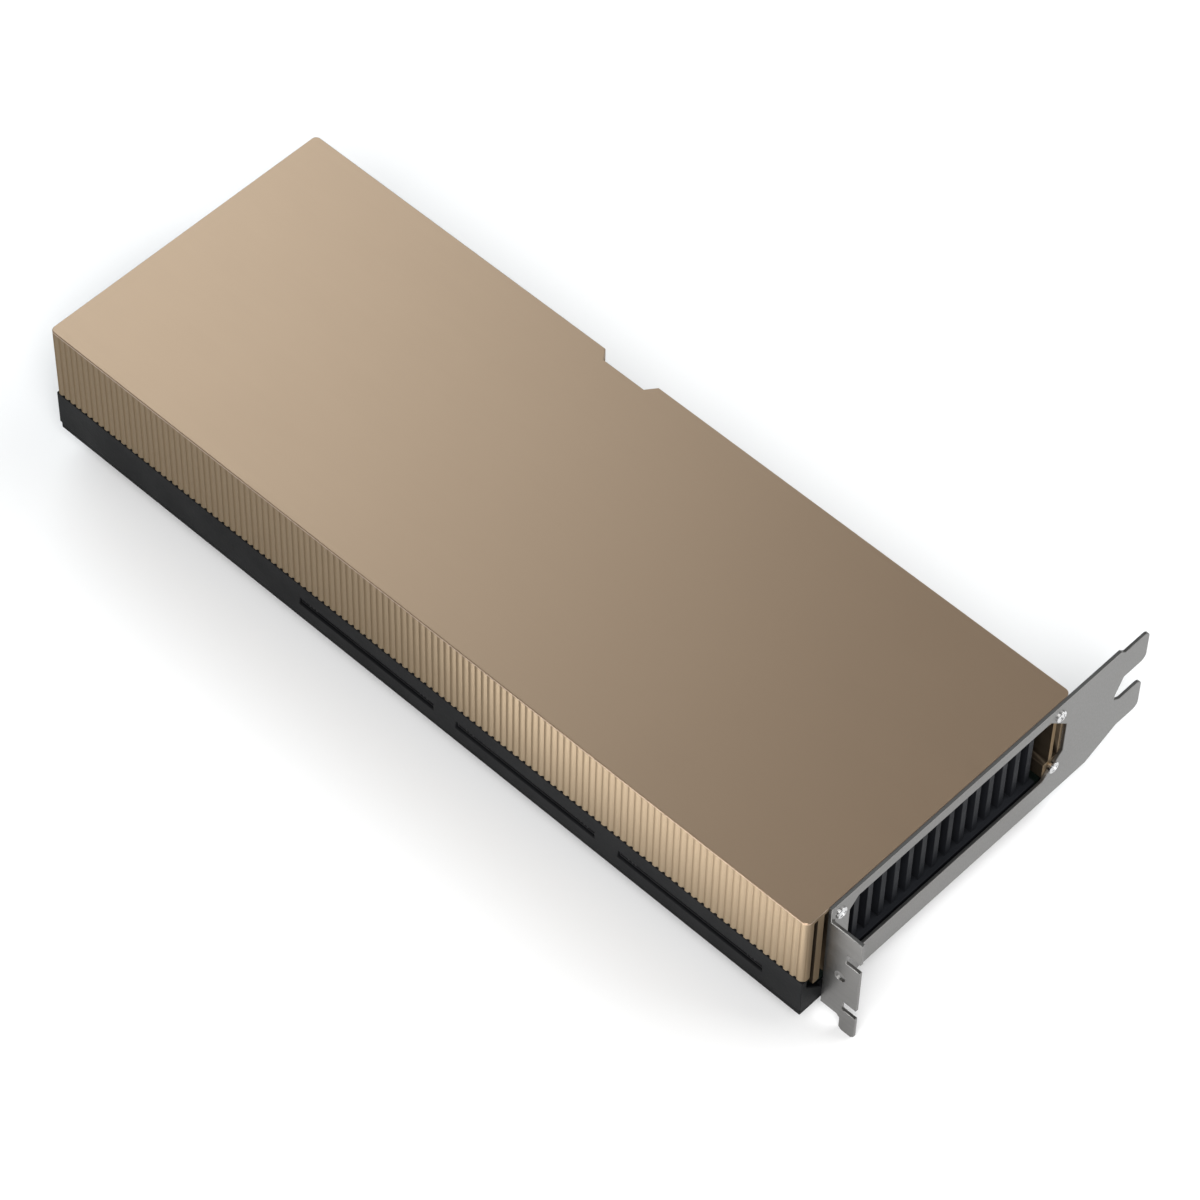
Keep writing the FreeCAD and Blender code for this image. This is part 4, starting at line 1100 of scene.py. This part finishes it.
@dataclass
class Underside:
    """The screws in the backplate: flat ones and, sunk in its holes, those that hold the heatsink.

    Rows are measured from the card's rear end, lines from its near side, and seats from the
    underside.
    """

    plan: Plan
    board_screw_lines: Span = (17.0 * MM, 80.0 * MM)
    board_screw_rows: tuple[float, ...] = (34.0 * MM, 133.5 * MM, 233.0 * MM)
    board_screw_length: float = 6.6 * MM
    cover_screws: tuple[Span, ...] = (
        (31.0 * MM, 11.0 * MM), (201.4 * MM, 11.0 * MM),
        (31.0 * MM, 92.0 * MM), (236.0 * MM, 92.0 * MM))
    cover_screw_length: float = 15.95 * MM
    flat_seat: float = 0.8 * MM
    flat_turn_step: float = 13.0
    retention_rows: Span = (102.5 * MM, 164.5 * MM)
    retention_lines: Span = (17.5 * MM, 79.5 * MM)
    retention_seat: float = 2.63 * MM
    retention_turn: float = 30.0

    def build(self, finishes: Finishes) -> None:
        """Builds the backplate's three sets of screws.

        Args:
            finishes: the card's materials.
        """
        board_screws = [(along, across) for along in self.board_screw_rows
                        for across in self.board_screw_lines]
        for name, node, spots, length in (
                ("board_screw_heads", "backplate_screws", board_screws, self.board_screw_length),
                ("cover_screw_heads", "frame_screws", self.cover_screws, self.cover_screw_length)):
            places = [facing(self.plan.rear + along, self.plan.near + across,
                             self.plan.underside + self.flat_seat, (0, 0, -1),
                             self.flat_turn_step * index)
                      for index, (along, across) in enumerate(spots)]
            Screws(name, node, "black_screws", places, Drive.SIX_LOBE, head_radius=2.1 * MM,
                   head_height=0.8 * MM, shank_radius=0.95 * MM, shank_length=length,
                   dome=0.1).build(finishes["black_screw"])
        places = [facing(self.plan.rear + along, self.plan.near + across,
                         self.plan.underside + self.retention_seat, (0, 0, -1),
                         self.retention_turn + along / MM)
                  for along in self.retention_rows for across in self.retention_lines]
        Screws("retention_heads", "retention_screws", "screw_steel", places, Drive.CROSS,
               head_radius=2.8 * MM, head_height=1.0 * MM, shank_radius=1.4 * MM,
               shank_length=4.7 * MM, dome=0.3).build(finishes["screw"])


@dataclass
class Core:
    """The heatsink, the board and the parts between them."""

    plan: Plan
    fin_edge: float = 0.12 * MM
    board_edge: float = 0.1 * MM
    finishes_of_nodes: dict[str, str] = field(default_factory=lambda: {
        "edge_contacts": "gold", "processor_substrate": "carrier", "processor_die": "silicon",
        "memory_stacks": "chip", "package_stiffener": "steel", "cold_plate": "copper",
        "power_inductors": "ferrite", "power_stages": "chip", "thermal_pads": "gap_pad",
        "bridge_connectors": "moulded_black", "board_standoffs": "gold", "spring_washers": "washer",
    })

    def build(self, frame: dict, finishes: Finishes) -> None:
        """Builds the heatsink and the board and dresses the nodes that keep their CAD shape.

        Args:
            finishes: the card's materials.
        """
        refined(frame, "fin_heatsink", "black_fins", finishes["black_fins"], self.fin_edge)
        refined(frame, "circuit_board", "board", finishes["board"], self.board_edge, segments=1)
        for node, finish in self.finishes_of_nodes.items():
            dress(frame["nodes"][node], finishes[finish])
            LOG.info("%s: dressed as %s", node, finish)


@dataclass
class SoftBox:
    """A large soft lamp of the studio."""

    name: str
    place: tuple[float, float, float]
    aim: tuple[float, float, float]
    size: tuple[float, float]
    power: float
    colour: Colour = (1.0, 1.0, 1.0)

    def build(self) -> None:
        """Hangs the lamp and turns it to its aim."""
        data = bpy.data.lights.new(self.name, "AREA")
        data.shape = "RECTANGLE"
        data.size, data.size_y = self.size
        data.energy = self.power
        data.color = self.colour
        lamp = bpy.data.objects.new(self.name, data)
        lamp.location = self.place
        look = Vector(self.aim) - Vector(self.place)
        lamp.rotation_euler = look.to_track_quat("-Z", "Y").to_euler()
        lamp.visible_camera = False
        bpy.context.collection.objects.link(lamp)


@dataclass
class Studio:
    """The pale floor, the soft lamps and the camera."""

    camera_place: tuple[float, float, float] = (0.515933, -0.564072, 0.994408)
    camera_turn: tuple[float, float, float] = (37.4959, -0.9573, 43.6885)
    lens: float = 143.289
    sensor: float = 36.0
    clip: Span = (0.05, 50.0)
    floor_side: float = 12.0
    floor_tones: tuple[Colour, Colour] = ((0.90, 0.90, 0.90), (0.91, 0.91, 0.91))
    floor_patches: float = 3.0
    floor_roughness: float = 0.7
    sky: float = 0.19
    lamps: tuple[SoftBox, ...] = (
        SoftBox("rear_panel", (-1.36, 0.52, 1.08), (-0.14, 0.0, 0.04), (1.3, 1.3), 11.0,
                (0.91, 1.0, 1.05)),
        SoftBox("high_key", (1.6, 1.9, 2.0), (0.0, 0.0, 0.0), (2.6, 2.6), 60.0),
        SoftBox("front_fill", (1.2, -1.6, 2.2), (0.0, 0.0, 0.0), (2.2, 2.2), 97.0),
        SoftBox("corner_fill", (0.086, -0.15, 0.006), (0.086, -0.149, 0.12), (0.14, 0.10), 0.27),
    )

    def floor(self, effects: Effects) -> None:
        """Lays the floor.

        Args:
            effects: the shared node groups.
        """
        form = bmesh.new()
        bmesh.ops.create_grid(form, x_segments=1, y_segments=1, size=self.floor_side / 2)
        mesh = bpy.data.meshes.new("studio_floor")
        form.to_mesh(mesh)
        form.free()
        item = bpy.data.objects.new("studio_floor", mesh)
        bpy.context.collection.objects.link(item)
        canvas = Canvas("pale_floor", effects)
        patches = canvas.effect(Effect.MOTTLE, self.floor_patches)
        canvas.join(canvas.blend(patches, *self.floor_tones), canvas.shader.inputs["Base Color"])
        canvas.shader.inputs["Roughness"].default_value = self.floor_roughness
        dress(item, canvas.material)

    def build(self, effects: Effects) -> None:
        """Sets up the studio.

        Args:
            effects: the shared node groups.
        """
        self.floor(effects)
        for lamp in self.lamps:
            lamp.build()
        world = bpy.data.worlds.new("pale_room")
        world.use_nodes = True
        light = world.node_tree.nodes["Background"]
        light.inputs["Color"].default_value = tinted((1.0, 1.0, 1.0))
        light.inputs["Strength"].default_value = self.sky
        scene = bpy.context.scene
        scene.world = world
        scene.view_settings.view_transform = "Standard"
        scene.view_settings.look = "None"
        data = bpy.data.cameras.new("photo_camera")
        data.lens = self.lens
        data.sensor_width = self.sensor
        data.clip_start, data.clip_end = self.clip
        camera = bpy.data.objects.new("photo_camera", data)
        camera.location = self.camera_place
        camera.rotation_euler = Euler([math.radians(turn) for turn in self.camera_turn], "XYZ")
        bpy.context.collection.objects.link(camera)
        scene.camera = camera


def main() -> None:
    logging.basicConfig(level=logging.INFO, format="%(message)s")
    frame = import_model()
    plan = Plan()
    effects = Effects()
    finishes = Finishes(effects)
    Studio().build(effects)
    Shroud(plan).build(frame, finishes)
    Chassis(plan).build(frame, finishes)
    SlotBracket(plan).build(frame, finishes)
    RearEnd(plan).build(frame, finishes)
    Underside(plan).build(finishes)
    Core(plan).build(frame, finishes)


if __name__ == "__main__":
    main()
